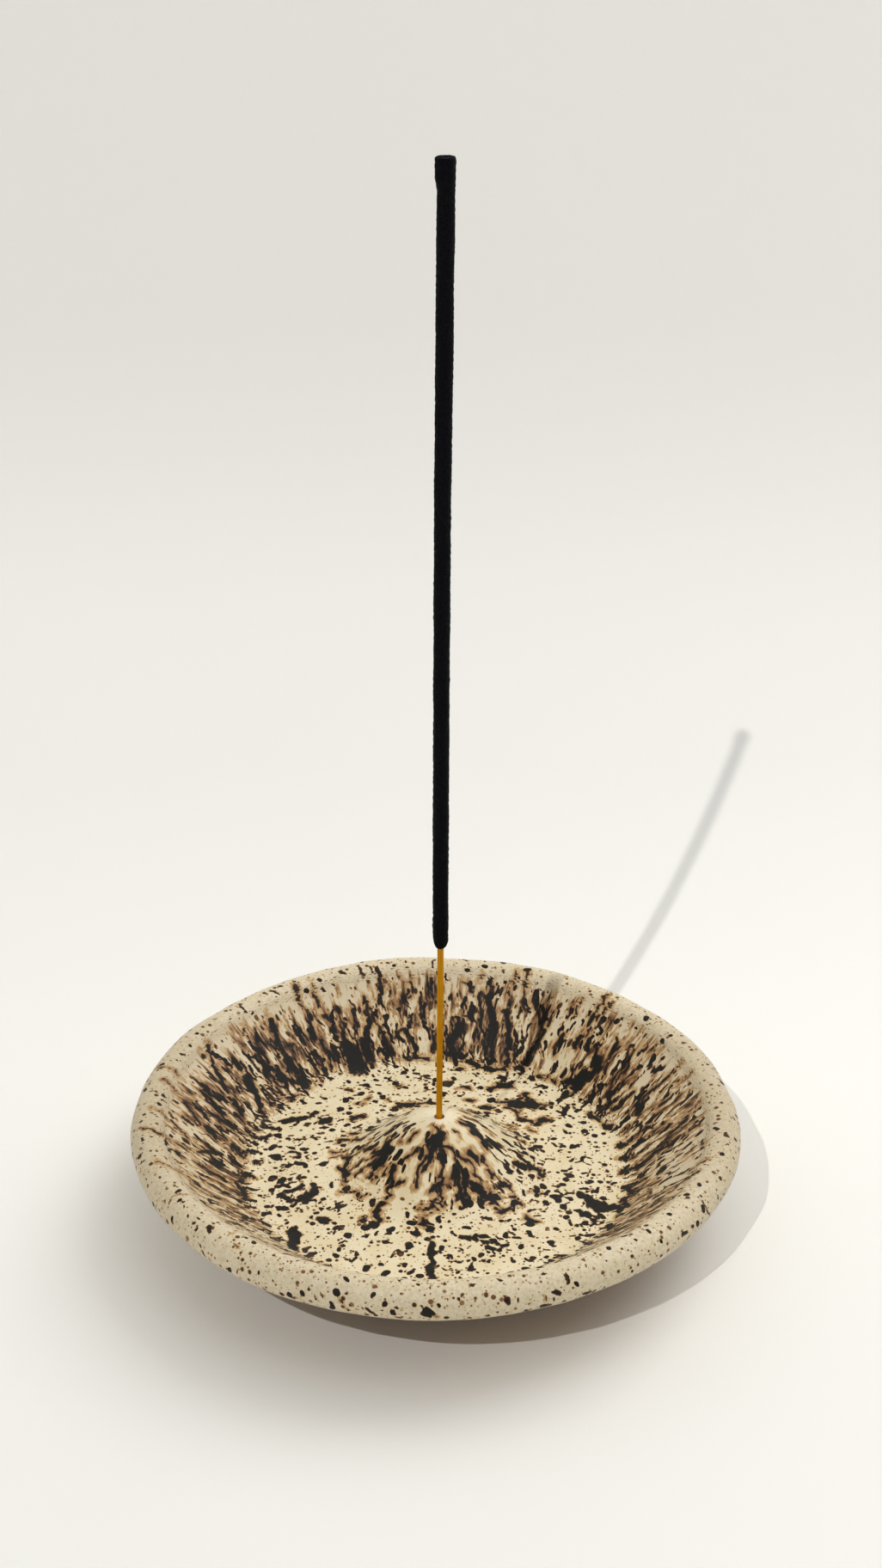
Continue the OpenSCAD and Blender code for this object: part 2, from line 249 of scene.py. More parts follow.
# strokes on the wall and the rim: half width, then points (angle in degrees, millimetres along the section from the rim's inner edge)
WALL_MARKS = [
    (0.5, (123.5, 2.9), (124.2, -1.3)), (0.4, (124.2, -1.3), (124.2, -3.1)), (0.4, (123.2, -4.1), (124.3, -9), (125.5, -10.7)),
    (0.2, (119.4, 2.9), (119.8, -1.1)), (0.4, (119.8, -1.1), (119.6, -4.8)), (0.5, (119.6, -6.7), (118, -9)), (1.1, (133.1, -2.8), (134.2, -5.8)),
    (0.8, (134.3, -7.3), (135, -11.8)), (1.1, (135.2, -13.3), (135, -17.2)), (1.1, (135.6, -19.1), (135.1, -21.4)),
    (0.3, (140.5, -1.2), (142.4, -3.5)), (0.4, (138.5, -3.4), (139.8, -6.6)), (0.5, (141.1, -8.2), (142, -10.3)), (1, (142.6, -11.8), (144.4, -14.4)),
    (0.5, (141.4, -13.2), (139.9, -15.5), (138.6, -19.2)), (0.5, (103.3, -0.3), (103.8, -3.3)), (0.7, (104.4, -5.5), (105, -6.6)),
    (0.5, (107.4, -9.4), (105.7, -14.7), (103.8, -20.4)), (0.4, (108.5, -4.2), (108.5, -8.9)), (0.8, (108.7, -10.7), (109.7, -13.3)),
    (0.5, (115.3, -9.9), (116.6, -14.3)), (1.6, (116.6, -15.9), (116.5, -19.5)), (1.2, (117.6, -21.1), (117.7, -21.9)),
    (1.2, (111.2, -15.4), (111.6, -20.3)), (0.6, (122.9, -15.5), (122.2, -18.1)), (0.4, (126.8, -17.2), (126, -19.8)),
    (0.4, (112.1, -7.3), (111.8, -11.8)), (0.3, (96.2, -1), (96.8, -5.5)), (0.4, (94.4, -4.9), (94.7, -8.9)), (0.5, (94.4, -10.3), (94.1, -11.8)),
    (0.6, (99.2, -13.7), (98.8, -14.7)), (0.4, (98.5, -15), (97.9, -18.1)), (0.4, (102.2, -15.5), (99.5, -13.6)),
    (0.6, (100.1, -21.6), (97.2, -21), (93.5, -22)), (0.5, (143.9, -18.6), (143.6, -21.9)), (0.3, (141.6, -22), (139.8, -22.5)),
    (0.4, (131.6, -10.6), (132.6, -10.9)), (0.6, (79.2, -4.3), (79, -8.2)), (0.4, (79.9, -8.9), (82.3, -10.2)), (1.1, (84.4, -13.3), (85.6, -17.5)),
    (0.4, (77.2, -2.4), (76.9, -4.1)), (0.9, (77.2, -5.4), (75.2, -10.3)), (0.9, (74.4, -12), (73.8, -17.4)), (0.9, (73.3, -19.1), (72.8, -21.1)),
    (0.6, (78.6, -8.5), (78.5, -12.4)), (0.3, (71.3, 3.6), (71.9, -1.6)), (0.4, (72.1, -2.9), (72, -6.4)), (0.8, (72.1, -8.2), (70.3, -11.8)),
    (0.8, (69.7, -13), (68.8, -17.1)), (0.7, (68.8, -18.9), (68.3, -21.7)), (0.4, (69.2, 3.6), (68.6, -0.5)), (0.3, (68.5, -1.8), (67.7, -6.5)),
    (0.7, (81.1, -22.2), (76.6, -23.5), (72, -23.8), (68, -22.6)), (0.4, (59.5, -5.3), (60.4, -9.1)), (0.6, (60.7, -10.6), (61.2, -15.5)),
    (0.8, (61.9, -17.4), (62.5, -19.8)), (0.4, (65.5, -3.4), (62.8, -7.6), (62, -9.5)), (0.3, (54.1, 0.1), (54.2, -4.5)),
    (0.4, (49.2, 3.8), (49.2, -1.2)), (0.5, (49.4, -2.7), (49.9, -6.1)), (0.7, (49.9, -8.9), (50, -11.8)), (0.4, (46.8, 2.1), (48.1, -3.1)),
    (0.5, (54.6, -9.6), (55.7, -13.6), (55.2, -15.6)), (1.2, (41.2, -12.4), (40.4, -13.9)), (1.5, (41, -16.1), (43.4, -18.7)),
    (0.7, (45.1, -19.8), (47.2, -20.5)), (0.4, (40.6, -4.9), (38.5, -9.6), (37.2, -14.4)), (0.3, (91.3, -0.6), (91.7, -2.3)),
    (0.4, (91, -5.3), (90.2, -7.1)), (0.4, (81.4, -2.4), (82.1, -3.7)), (0.3, (79.3, 0.3), (80.3, -1.5)), (0.5, (83.6, -1.7), (83, -1.8)),
    (0.6, (91.3, -16.8), (91.4, -19.7)), (0.5, (56.8, -22), (50.3, -21.6)), (0.8, (66.2, -27.4), (64.9, -27.4)), (0.7, (85, -26.9), (82.9, -24.9)),
    (0.6, (91.3, -27), (91, -27.3)), (1, (42, -12), (40.3, -15)), (1.5, (43.1, -16.9), (43, -21)), (0.3, (40.7, -4.9), (39.6, -7.6), (38.9, -10.9)),
    (0.3, (32.4, -9.4), (32.3, -12.7)), (0.7, (30.7, -15.5), (31, -18.3)), (0.3, (19.2, 0.7), (19.3, -2.7)), (0.5, (19.3, -4.1), (19.8, -8.8)),
    (0.5, (19.8, -9.7), (19.8, -12.6)), (0.9, (19, -13.5), (18.1, -15.4)), (0.3, (33.8, -4.5), (33.2, -8.5)), (0.3, (28.7, -2.3), (27.6, -4.3)),
    (0.4, (31.3, -3), (31.6, -4.5)), (0.5, (24.8, -13.1), (25.2, -17.4)), (0.6, (25.3, -18.4), (26.3, -19.8)), (0.7, (31.1, -24.7), (26.5, -24)),
    (0.7, (23.6, -23.7), (21.2, -23.1)), (0.8, (26.8, -29.5), (26.5, -27.6)), (0.4, (13.2, -7.2), (13.3, -10.9)), (0.3, (4.1, -0.1), (3.7, -3.6)),
    (0.5, (1.9, -5.3), (1.4, -8.8)), (0.5, (1.1, -9.6), (0.4, -11.9)), (0.4, (357, -1.9), (357.1, -4.5)), (0.5, (356.6, -5.8), (355.8, -7.3)),
    (0.5, (357.6, -13.5), (357.6, -17.7)), (0.7, (357.4, -19), (358.2, -22.5)), (0.8, (357.6, -23.9), (357, -24.6)),
    (0.8, (4.8, -24.4), (4.4, -22.2)), (0.9, (11.2, -23.4), (10.8, -22.7)), (0.3, (358.1, -12.1), (358.1, -15.1)), (0.3, (340.1, 2.6), (339, -2.1)),
    (0.4, (335.5, 2.1), (334.4, -2.7), (332.2, -4.5)), (0.3, (328.2, 1.3), (327.6, -2.9), (325, -4.7)), (0.6, (349.2, -23.3), (345, -20.9)),
    (0.4, (343.4, -23.2), (339.7, -22.2)), (0.3, (342.2, -12.5), (343.1, -15.7)), (0.3, (348, -17.5), (350, -20.9)), (0.3, (14, 1.5), (15.7, -3.7)),
    (0.3, (10.3, -1.2), (8.9, -2.5)), (0.3, (348.1, -0.7), (347.9, 0.2)), (0.3, (348.6, -3.7), (348.8, -3.3)), (0.5, (152.2, 0.3), (155.3, -3.9)),
    (0.6, (156.6, -6.4), (159, -10.9)), (0.7, (159.8, -13.3), (161.3, -17.1)), (1, (149.6, -7), (149.6, -9.3)), (1.3, (149.8, -11.7), (151.4, -15)),
    (1, (152.5, -16.9), (153.6, -19.2)), (0.2, (166.1, 6.5), (166.6, 3.1), (167.2, 0.1)), (0.3, (171, 3.5), (171.7, -0.7)),
    (0.4, (173.8, -4.1), (175.6, -7.7)), (0.9, (175.8, -10.2), (177.2, -13.5)), (0.5, (165.7, -5.4), (165.5, -7.2)),
    (0.8, (165.6, -9.3), (166, -11.8)), (0.8, (167.6, -14.3), (168.2, -16.6)), (0.5, (175.2, -11.7), (174.7, -15.6)),
    (0.9, (176, -18.1), (175.3, -21.7)), (0.2, (181.3, 3.9), (182.8, 0.7), (183.2, -3.9)), (0.5, (178.4, -3.7), (179.3, -6)),
    (0.3, (188.8, 5.1), (190.3, 2.5), (190.4, -1)), (0.6, (193.4, -2.3), (194.9, -3.5)), (0.3, (183.8, -5.2), (185.8, -7.8)),
    (0.6, (187.3, -9.5), (182.3, -15.3)), (0.6, (185.9, -13.1), (188.6, -15.1)), (0.3, (191.9, -8.7), (193.8, -8.8)),
    (0.2, (200.3, 4.7), (202.7, 2.3), (202.3, -2.4)), (0.3, (202.3, -3.3), (204.6, -5.4), (205.4, -8.7)), (0.4, (206.2, -8.8), (206.5, -10)),
    (0.6, (193.3, -12.4), (193.9, -16.2)), (0.8, (185.8, -21.5), (185.8, -23.9)), (1, (192.5, -20.1), (196.1, -21.1)),
    (0.2, (214.8, -1.2), (215.5, -4.5), (218.2, -8.3)), (0.2, (219.4, -8.9), (225.1, -8.2)), (0.2, (201.2, -1.5), (205, -3)),
    (0.4, (204.7, -18.1), (202.9, -20.2)),
]
RIM_MARKS = [
    (0.4, (137.9, 3.9), (138, 1.5)), (0.8, (103.4, 2), (103.4, 0.9)), (0.4, (107.8, 4.1), (107.4, 0.7)), (0.3, (105.4, 3.9), (104.8, 1.1)),
    (0.5, (112, 3.3), (110.8, 2.3)), (0.3, (145.8, 4.9), (145.3, 3.9)), (0.4, (130.8, 4.1), (130.6, 3.6)), (0.3, (129.1, 3.6), (128.5, 2.4)),
    (0.4, (90.5, 4.2), (90.5, 1.5)), (0.3, (84.6, 5.3), (82.9, 4.8)), (0.5, (349.2, 5.1), (348.5, 5.3)), (0.3, (345.6, 5.4), (345.8, 5.7)),
    (0.3, (348.1, 8.5), (347.5, 9.5)), (0.3, (353, 2.5), (353, 3.2)), (0.3, (327.5, 7.2), (328.2, 10.1)), (0.3, (328.4, 10.4), (328.7, 11.3)),
    (0.4, (321.8, 9.6), (322.2, 9.8)), (0.7, (318.8, 9.8), (320, 10.3)), (0.4, (175.4, 5.3), (176, 4.1)), (0.4, (212.6, 7.7), (212.6, 6.9)),
    (0.5, (223.2, 5.9), (224.9, 6.3)), (0.4, (243.6, 6.3), (243.6, 6.3)), (0.5, (250.1, 9.3), (250.2, 9.6)), (0.4, (251.9, 9.2), (252, 9.3)),
    (0.4, (254.2, 8.5), (254.3, 8.6)), (0.6, (263, 10.2), (263.2, 10.3)), (0.4, (268.7, 5.6), (268.9, 5.6)), (0.4, (276.2, 5.3), (276.8, 5)),
    (0.7, (282, 9.3), (282.2, 9.8)), (0.4, (286.3, 10.9), (286.4, 11.1)), (0.4, (289.1, 5.5), (289.3, 5.6)), (0.6, (293.4, 7.1), (293.5, 8.5)),
    (0.7, (290.4, 9.2), (290.9, 9.7)), (0.4, (263.5, 12.6), (264, 12.5)), (0.7, (268.2, 11.6), (268.8, 11.6)), (0.4, (278.4, 12.5), (278.5, 13.1)),
    (0.5, (258.7, 11.5), (259.7, 12.9)), (0.6, (288.5, 12.8), (289.1, 12.7)), (0.5, (296.8, 12.3), (297.2, 11.9)),
]
BROWN_MARKS = [
    (0.4, (209.9, -20.5), (212.5, -25.7), (213.6, -28.3)), (0.7, (187.9, 5.9), (190.1, 3.6)), (0.8, (200.3, 4.7), (202.7, 2.3), (202.3, -2.4)),
    (0.5, (211.7, 6.3), (212.6, 2.9)), (0.5, (228.5, 5.3), (228.2, 1.8)), (0.5, (230.9, 5.5), (232, 6.2)),
    (0.6, (253.7, 9.6), (254.2, 10.9), (254.9, 12.1)), (0.5, (288.6, 9.8), (289, 11.5)), (0.9, (269.2, 10.7), (270.2, 11.9)),
]


class Points:
    """Surface points that strokes are laid on, either in plan or unrolled round the axis."""

    def __init__(self, th, r, s, wx, wy, plan):
        self.plan = plan
        if plan:
            self.x, self.y = r * np.cos(th) + wx, r * np.sin(th) + wy
        else:
            self.x, self.y = np.degrees(th) + np.degrees(wx / r), s - S_CREST + wy
            self.r = r
        self.order = np.argsort(self.x)
        self.sorted = self.x[self.order]

    def near(self, lo_x, hi_x, lo_y, hi_y):
        out = []
        spans = [(lo_x, hi_x)] if self.plan else [(lo_x, hi_x), (lo_x + 360, hi_x + 360), (lo_x - 360, hi_x - 360)]
        for a, b in spans:
            i, j = np.searchsorted(self.sorted, (a, b))
            if j > i:
                out.append(self.order[i:j])
        if not out:
            return np.zeros(0, int)
        idx = np.concatenate(out)
        return idx[(self.y[idx] > lo_y) & (self.y[idx] < hi_y)]


def lay(marks, P, out, band, grow=0.0, scale=1.0, taper=0.0, level=1.0):
    """Raises out to each stroke's value: half on its edge, full a band inside it, nothing a band outside."""
    for m in marks:
        w = m[0] * scale + grow
        pts = np.array(m[1:], float)
        reach = w + band
        if P.plan:
            lo, hi = pts.min(0) - reach, pts.max(0) + reach
        else:
            k = math.degrees(1.0) / 43.0
            lo = pts.min(0) - (reach * k, reach)
            hi = pts.max(0) + (reach * k, reach)
        near = P.near(lo[0], hi[0], lo[1], hi[1])
        if not len(near):
            continue
        x, y = P.x[near], P.y[near]
        if P.plan:
            q = np.stack([x, y], 1)
            v = [np.broadcast_to(c, q.shape) for c in pts]
        else:
            mid = pts[:, 0].mean()
            arc = np.radians(1.0) * P.r[near]
            q = np.stack([((x - mid + 180) % 360 - 180) * arc, y], 1)
            v = [np.stack([(c[0] - mid) * arc, np.full(len(near), c[1])], 1) for c in pts]
        best = np.full(len(near), 1e9)
        n = len(pts) - 1
        for i in range(n):
            d = v[i + 1] - v[i]
            l2 = np.maximum((d * d).sum(1), 1e-9)
            t = np.clip(((q - v[i]) * d).sum(1) / l2, 0, 1)
            dist = np.linalg.norm(q - v[i] - t[:, None] * d, axis=1)
            best = np.minimum(best, dist - w * (1 - taper * (i + t) / n))
        out[near] = np.maximum(out[near], level * np.clip(0.5 - best / (2 * band), 0, 1))
    return out


WARP_A = Waves(21, 4.5, dims=3, octaves=3, gain=0.5)
WARP_B = Waves(22, 4.5, dims=3, octaves=3, gain=0.5)


def floor_spatter():
    """Drops on the floor and the foot of the mound, in plan: mostly small, some in groups, a few drawn out."""
    rs = np.random.RandomState(5)
    out = []
    groups = [(rs.uniform(10, 43), rs.uniform(0, 2 * math.pi)) for _ in range(60)]
    for k in range(1500):
        if k % 5 < 2:
            gr, ga = groups[rs.randint(len(groups))]
            x, y = gr * math.cos(ga) + rs.normal(0, 2.6), gr * math.sin(ga) + rs.normal(0, 2.6)
        else:
            r = math.sqrt(rs.uniform(5.0**2, 45.5**2))
            a = rs.uniform(0, 2 * math.pi)
            x, y = r * math.cos(a), r * math.sin(a)
        r = math.hypot(x, y)
        if r < 5 or r > 46.5:
            continue
        w = 0.26 + 0.62 * rs.uniform() ** 3.2
        if r < 19:                                       # runs down the mound
            w *= 0.75
            l = rs.uniform(0.3, 1.8)
            dx, dy = x / r * l, y / r * l
        else:
            l = rs.uniform(0, 1.3) * (rs.uniform() < 0.6)
            a = rs.uniform(0, math.pi)
            dx, dy = l * math.cos(a), l * math.sin(a)
        out.append((w, (x, y), (x + dx, y + dy)))
    return out


def wall_runs():
    """Thin runs down the wall, unrolled."""
    rs = np.random.RandomState(6)
    out = []
    for k in range(1500):
        a = rs.uniform(0, 360)
        back = 0.5 + 0.5 * math.sin(math.radians(a))
        s0 = -22.5 * rs.uniform() ** 0.85 + 0.5
        if s0 > -4 and rs.uniform() < 0.55:
            continue
        l = rs.uniform(0.6, 4.2) * (0.7 + 0.5 * back)
        w = 0.22 + 0.36 * rs.uniform() ** 2.2
        s1 = max(s0 - l, -25.0)
        drift = rs.normal(0, 0.5)
        out.append((w, (a, s0), (a + drift * 0.5 + rs.normal(0, 0.25), (s0 + s1) / 2), (a + drift, s1)))
    return out


def rim_spatter():
    """Drops on the roll and down the outside, unrolled."""
    rs = np.random.RandomState(9)
    out = []
    top = S_RIM - S_CREST
    for k in range(1500):
        a, y = rs.uniform(0, 360), rs.uniform(-2.0, S_END - S_CREST)
        on_top = y < top + 4
        if on_top and rs.uniform() < 0.15:
            continue
        w = 0.21 + (0.50 if on_top else 0.85) * rs.uniform() ** 2.8
        l = rs.uniform(0, 0.7) if on_top else rs.uniform(0.2, 3.5)
        out.append((w, (a, y), (a + rs.normal(0, 0.3), min(y + l, S_END - S_CREST))))
    return out


# ---------------------------------------------------------------------------
# lathe meshes
# ---------------------------------------------------------------------------
def lathe(rings, counts, closed=False):
    """rings is a list of (r, z) in mm, counts the number of points round each. Returns points, ring of each point, angle of each point and faces."""
    starts, xyz, ring_of, ang = [], [], [], []
    at = 0
    for j, ((r, z), n) in enumerate(zip(rings, counts)):
        starts.append(at)
        if r < 1e-6:
            n = 1
        a = np.arange(n) * 2 * math.pi / n
        xyz.append(np.stack([r * np.cos(a), r * np.sin(a), np.full(n, z)], 1))
        ring_of.append(np.full(n, j))
        ang.append(a)
        at += n
    counts = [1 if r < 1e-6 else n for (r, z), n in zip(rings, counts)]
    faces, face_ring = [], []
    last = len(rings) if closed else len(rings) - 1
    for j in range(last):
        k = (j + 1) % len(rings)
        n, m, a, b = counts[j], counts[k], starts[j], starts[k]
        if n == m:
            for i in range(n):
                i2 = (i + 1) % n
                faces.append((a + i, b + i, b + i2, a + i2))
        elif m == 1:
            for i in range(n):
                faces.append((a + i, b, a + (i + 1) % n))
        elif n == 1:
            for i in range(m):
                faces.append((a, b + i, b + (i + 1) % m))
        elif m == 2 * n:
            for i in range(n):
                i2 = (i + 1) % n
                f0, f1, f2 = b + 2 * i, b + 2 * i + 1, b + (2 * i + 2) % m
                faces += [(a + i, f0, f1), (a + i, f1, a + i2), (a + i2, f1, f2)]
        elif n == 2 * m:
            for i in range(m):
                i2 = (i + 1) % m
                f0, f1, f2 = a + 2 * i, a + 2 * i + 1, a + (2 * i + 2) % n
                faces += [(b + i, f1, f0), (b + i, b + i2, f1), (b + i2, f2, f1)]
        else:
            raise ValueError("ring counts must match or double")
        face_ring += [j] * (len(faces) - len(face_ring))
    return np.concatenate(xyz), np.concatenate(ring_of), np.concatenate(ang), faces, np.array(face_ring)


def make_mesh(name, xyz_mm, faces):
    me = bpy.data.meshes.new(name)
    me.from_pydata((xyz_mm * MM).tolist(), [], faces)
    me.update()
    me.polygons.foreach_set("use_smooth", np.ones(len(me.polygons), bool))
    ob = bpy.data.objects.new(name, me)
    bpy.context.scene.collection.objects.link(ob)
    return ob


def add_attr(ob, name, kind, values):
    a = ob.data.attributes.new(name, kind, "POINT")
    key = {"FLOAT": "value", "FLOAT_VECTOR": "vector", "FLOAT_COLOR": "color"}[kind]
    a.data.foreach_set(key, np.ascontiguousarray(values, dtype=np.float32).ravel())


def glaze_attrs(ob, xyz, s, th):
    """Pigment and flow coordinates on the glaze, as smooth fields that the material sharpens."""
    n = len(xyz)
    r = np.hypot(xyz[:, 0], xyz[:, 1])
    fr = 12.0 + (52.0 - 12.0) * smooth(s, S_MOUND - 2, S_FLOOR - 3)
    flow = np.stack([fr * np.cos(th), fr * np.sin(th), s], 1)
    steep = np.maximum(smooth(s, S_FLOOR - 1, S_FLOOR + 3) * (1 - smooth(s, S_CREST - 2, S_CREST + 1)), 1 - smooth(s, S_MOUND - 12, S_MOUND - 2))
    solid = np.stack([r * np.cos(th), r * np.sin(th), s * (1 - 0.45 * steep)], 1)
    wx, wy = WARP_A(solid) * 0.30, WARP_B(solid) * 0.30
    dark, spots, brown = np.zeros(n), np.zeros(n), np.zeros(n)

    idx = np.nonzero(s < S_FLOOR + 5)[0]
    P = Points(th[idx], r[idx], s[idx], wx[idx], wy[idx], True)
    d, t, b = dark[idx], spots[idx], brown[idx]
    lay(MOUND_MARKS, P, d, 0.65, scale=0.80)
    lay(FLOOR_MARKS, P, d, 0.7, scale=0.92)
    lay(floor_spatter(), Points(th[idx], r[idx], s[idx], wx[idx] * 0.45, wy[idx] * 0.45, True), t, 0.7)
    lay(MOUND_MARKS, P, b, 1.2, scale=0.85, grow=0.75)
    lay(FLOOR_MARKS, P, b, 0.9, grow=0.1)
    fade = (1 - smooth(r[idx], 44.5, 47.0)) * (s[idx] < S_CREST)
    dark[idx], spots[idx], brown[idx] = d * fade, t * fade, b * fade

    idx = np.nonzero(s > S_FLOOR - 3)[0]
    P = Points(th[idx], r[idx], s[idx], wx[idx] * 0.8, wy[idx] * 0.8, False)
    d, t, b = dark[idx], spots[idx], brown[idx]
    lay(WALL_MARKS, P, d, 0.9, scale=1.04)
    lay(RIM_MARKS, P, d, 0.6)
    lay(wall_runs(), P, t, 0.6, taper=0.35)
    lay(rim_spatter(), Points(th[idx], r[idx], s[idx], wx[idx] * 0.3, wy[idx] * 0.3, False), t, 0.5)
    lay(WALL_MARKS, P, b, 1.7, grow=0.7)
    lay(BROWN_MARKS, P, b, 0.8, scale=0.8)
    lay(BROWN_MARKS, P, d, 0.6, scale=0.4, level=0.85)
    dark[idx], spots[idx], brown[idx] = d, t, b

    wall = smooth(s, S_FLOOR - 1.5, S_FLOOR + 2.0) * (1 - smooth(s, S_CREST - 0.5, S_CREST + 2.0))
    down = np.clip((S_CREST - s) / 25.0, 0, 1)
    mound = 1 - smooth(s, S_MOUND - 12, S_MOUND - 2)
    rim = smooth(s, S_CREST - 2.5, S_CREST + 1.5)
    add_attr(ob, "flow", "FLOAT_VECTOR", flow)
    add_attr(ob, "pig_dark", "FLOAT", dark)
    add_attr(ob, "pig_spots", "FLOAT", spots)
    add_attr(ob, "pig_brown", "FLOAT", brown)
    add_attr(ob, "lip", "FLOAT", smooth(s, 1.0, 4.2))
    add_attr(ob, "side", "FLOAT", np.cos(2 * th))
    add_attr(ob, "under", "FLOAT", smooth(s, S_RIM + 4.5, S_RIM + 11))
    add_attr(ob, "hole", "FLOAT", 1 - smooth(s, 0.30, 0.62))
    add_attr(ob, "zones", "FLOAT_COLOR", np.stack([wall, rim, mound, down], 1))


def outer_points(s, th):
    """Displaced points of the glazed surface for arrays s, th."""
    rz = section_at(s)
    p = np.stack([rz[:, 0] * np.cos(th), rz[:, 0] * np.sin(th), rz[:, 1]], 1)
    return wobble(p)


def outer_normals(s, th):
    e = 0.12
    s0, s1 = np.clip(s - e, 0, S_END), np.clip(s + e, 0, S_END)
    ds = outer_points(s1, th) - outer_points(s0, th)
    da = 0.004
    dt = outer_points(s, th + da) - outer_points(s, th - da)
    n = np.cross(ds, dt)
    n /= np.linalg.norm(n, axis=1)[:, None]
    return n


def glaze_piece(name, s_list, counts, s_back, counts_back):
    """A closed skin of glaze: the seen surface at s_list and its back, GLAZE_T into the clay, at s_back."""
    front = section_at(s_list)
    back_n = section_normal(s_back)
    back = section_at(s_back) - back_n * GLAZE_T * 0.97
    back[:, 0] = np.maximum(back[:, 0], HOLE_R)
    rings = [tuple(x) for x in front] + [tuple(x) for x in back[::-1]]
    cnt = list(counts) + list(counts_back[::-1])
    p, ring_of, th, faces, face_ring = lathe(rings, cnt, closed=True)
    s_all = np.concatenate([s_list, s_back[::-1]])[ring_of]
    xyz = wobble(p)
    ob = make_mesh(name, xyz, faces)
    me = ob.data
    # the seen face keeps the whole dish's own normals, so that its pieces meet without a line
    n_front = len(s_list)
    vn = np.zeros((len(p), 3))
    seen = ring_of < n_front
    vn[seen] = outer_normals(s_all[seen], th[seen])
    loops_v = np.empty(len(me.loops), np.int64)
    me.loops.foreach_get("vertex_index", loops_v)
    totals = np.empty(len(me.polygons), np.int64)
    me.polygons.foreach_get("loop_total", totals)
    fn = np.empty(len(me.polygons) * 3)
    me.polygons.foreach_get("normal", fn)
    fn = fn.reshape(-1, 3)
    own = np.repeat(face_ring < n_front - 1, totals)
    normals = np.where(own[:, None], vn[loops_v], np.repeat(fn, totals, axis=0))
    me.normals_split_custom_set(normals.tolist())
    glaze_attrs(ob, p, s_all, th)
    return ob


def ring_count(r):
    return 720 if r > 26 else 360 if r > 11.5 else 180 if r > 4.6 else 90


def spread(a, b, step):
    return np.linspace(a, b, max(2, int(round((b - a) / step)) + 1))


def ring_list(s_arr):
    """Ring counts that change by a factor of two at most from one ring to the next."""
    want = [ring_count(r) for r in section_at(s_arr)[:, 0]]
    for i in range(1, len(want)):
        want[i] = min(want[i], want[i - 1] * 2)
    return want


s_in = np.concatenate([spread(0, 3.0, 0.14)[:-1], spread(3.0, S_MOUND, 0.42)[:-1], spread(S_MOUND, S_CREST, 0.46)])
c_in = ring_list(s_in)
s_in_b = np.concatenate([spread(0, S_MOUND, 2.4)[:-1], spread(S_MOUND, S_CREST, 3.2)])
c_in_b = ring_list(s_in_b)
glaze_inside = glaze_piece("glaze_inside", s_in, c_in, s_in_b, c_in_b)

s_ex = np.concatenate([spread(S_CREST, S_RIM + 6, 0.42)[:-1], spread(S_RIM + 6, S_END, 0.55)])
c_ex = [720] * len(s_ex)
s_ex_b = spread(S_CREST, S_END, 2.6)
c_ex_b = [720] * len(s_ex_b)
glaze_outside = glaze_piece("glaze_outside", s_ex, c_ex, s_ex_b, c_ex_b)

# the clay under it, with its hole, foot ring and turned recess
s_clay = np.concatenate([spread(0.0, S_MOUND, 1.2)[1:-1], spread(S_MOUND, S_END, 1.5)])
clay_line = section_at(s_clay) - section_normal(s_clay) * GLAZE_T * 1.03
clay_line = clay_line[clay_line[:, 0] > HOLE_R + 0.25]
foot = curve((FOOT_R + 1.05, Z_STOP + 0.35), (FOOT_R + 0.5, 2.6), (FOOT_R, 0.9), 8)
foot_edge = curve((FOOT_R, 0.9), (FOOT_R, 0.0), (FOOT_R - 1.0, 0.0), 7)[1:]
face = np.array([(FOOT_R - 1.0 - 0.5 * i, 0.0) for i in range(1, 9)])
inner_edge = curve((FOOT_R - 5.2, 0.0), (FOOT_R - 6.0, 0.0), (FOOT_R - 6.05, 0.9), 7)
recess = curve((FOOT_R - 6.05, 0.9), (FOOT_R - 6.1, 3.0), (FOOT_R - 8.2, 3.0), 8)[1:]
under = np.array([(r, 3.0 + 0.05 * math.cos(r * 1.9)) for r in np.arange(FOOT_R - 9.0, 0.8, -0.7)])
clay_rings = [(0.0, Z_HOLE), (HOLE_R * 0.55, Z_HOLE), (HOLE_R, Z_HOLE + 0.12), (HOLE_R, 14.0), (HOLE_R, 18.0), (HOLE_R, MOUND_Z - 1.2),
              (HOLE_R, MOUND_Z - 0.62)]
clay_rings += [tuple(x) for x in clay_line] + [tuple(x) for x in foot] + [tuple(x) for x in foot_edge]
clay_rings += [tuple(x) for x in face] + [tuple(x) for x in inner_edge] + [tuple(x) for x in recess] + [tuple(x) for x in under] + [(0.0, 3.0)]
want = [48 if r < 2.5 else 96 if r < 6 else 192 if r < 14 else 384 for r, z in clay_rings]
for i in range(1, len(want)):
    want[i] = min(want[i], want[i - 1] * 2) if want[i] > want[i - 1] else max(want[i], want[i - 1] // 2)
p, ring_of, th, faces, _ = lathe(clay_rings, want)
clay = make_mesh("clay_body", wobble(p), faces)


# ---------------------------------------------------------------------------
# the incense stick
# ---------------------------------------------------------------------------
CORE_R = (b_hi.x - b_lo.x) / 2 / MM + 0.05
Z_TIP = b_hi.z / MM
Z_P0, Z_P1 = p_lo.z / MM, p_hi.z / MM
ROUGH_A = Waves(31, 1.1, octaves=3, gain=0.62)
ROUGH_B = Waves(32, 11.0, octaves=2)


def stick_axis(z):
    """How far the hand-rolled stick strays from a straight line, in mm."""
    t = np.clip((np.asarray(z, float) - 23.0) / 216.0, 0, 1.02)
    x = 0.26 * smooth(z, 24, 66) + 1.20 * t**2.4 + 0.03 * np.sin(t * 17) * t
    y = 0.10 * np.sin(t * 9.0) * t
    return x, y


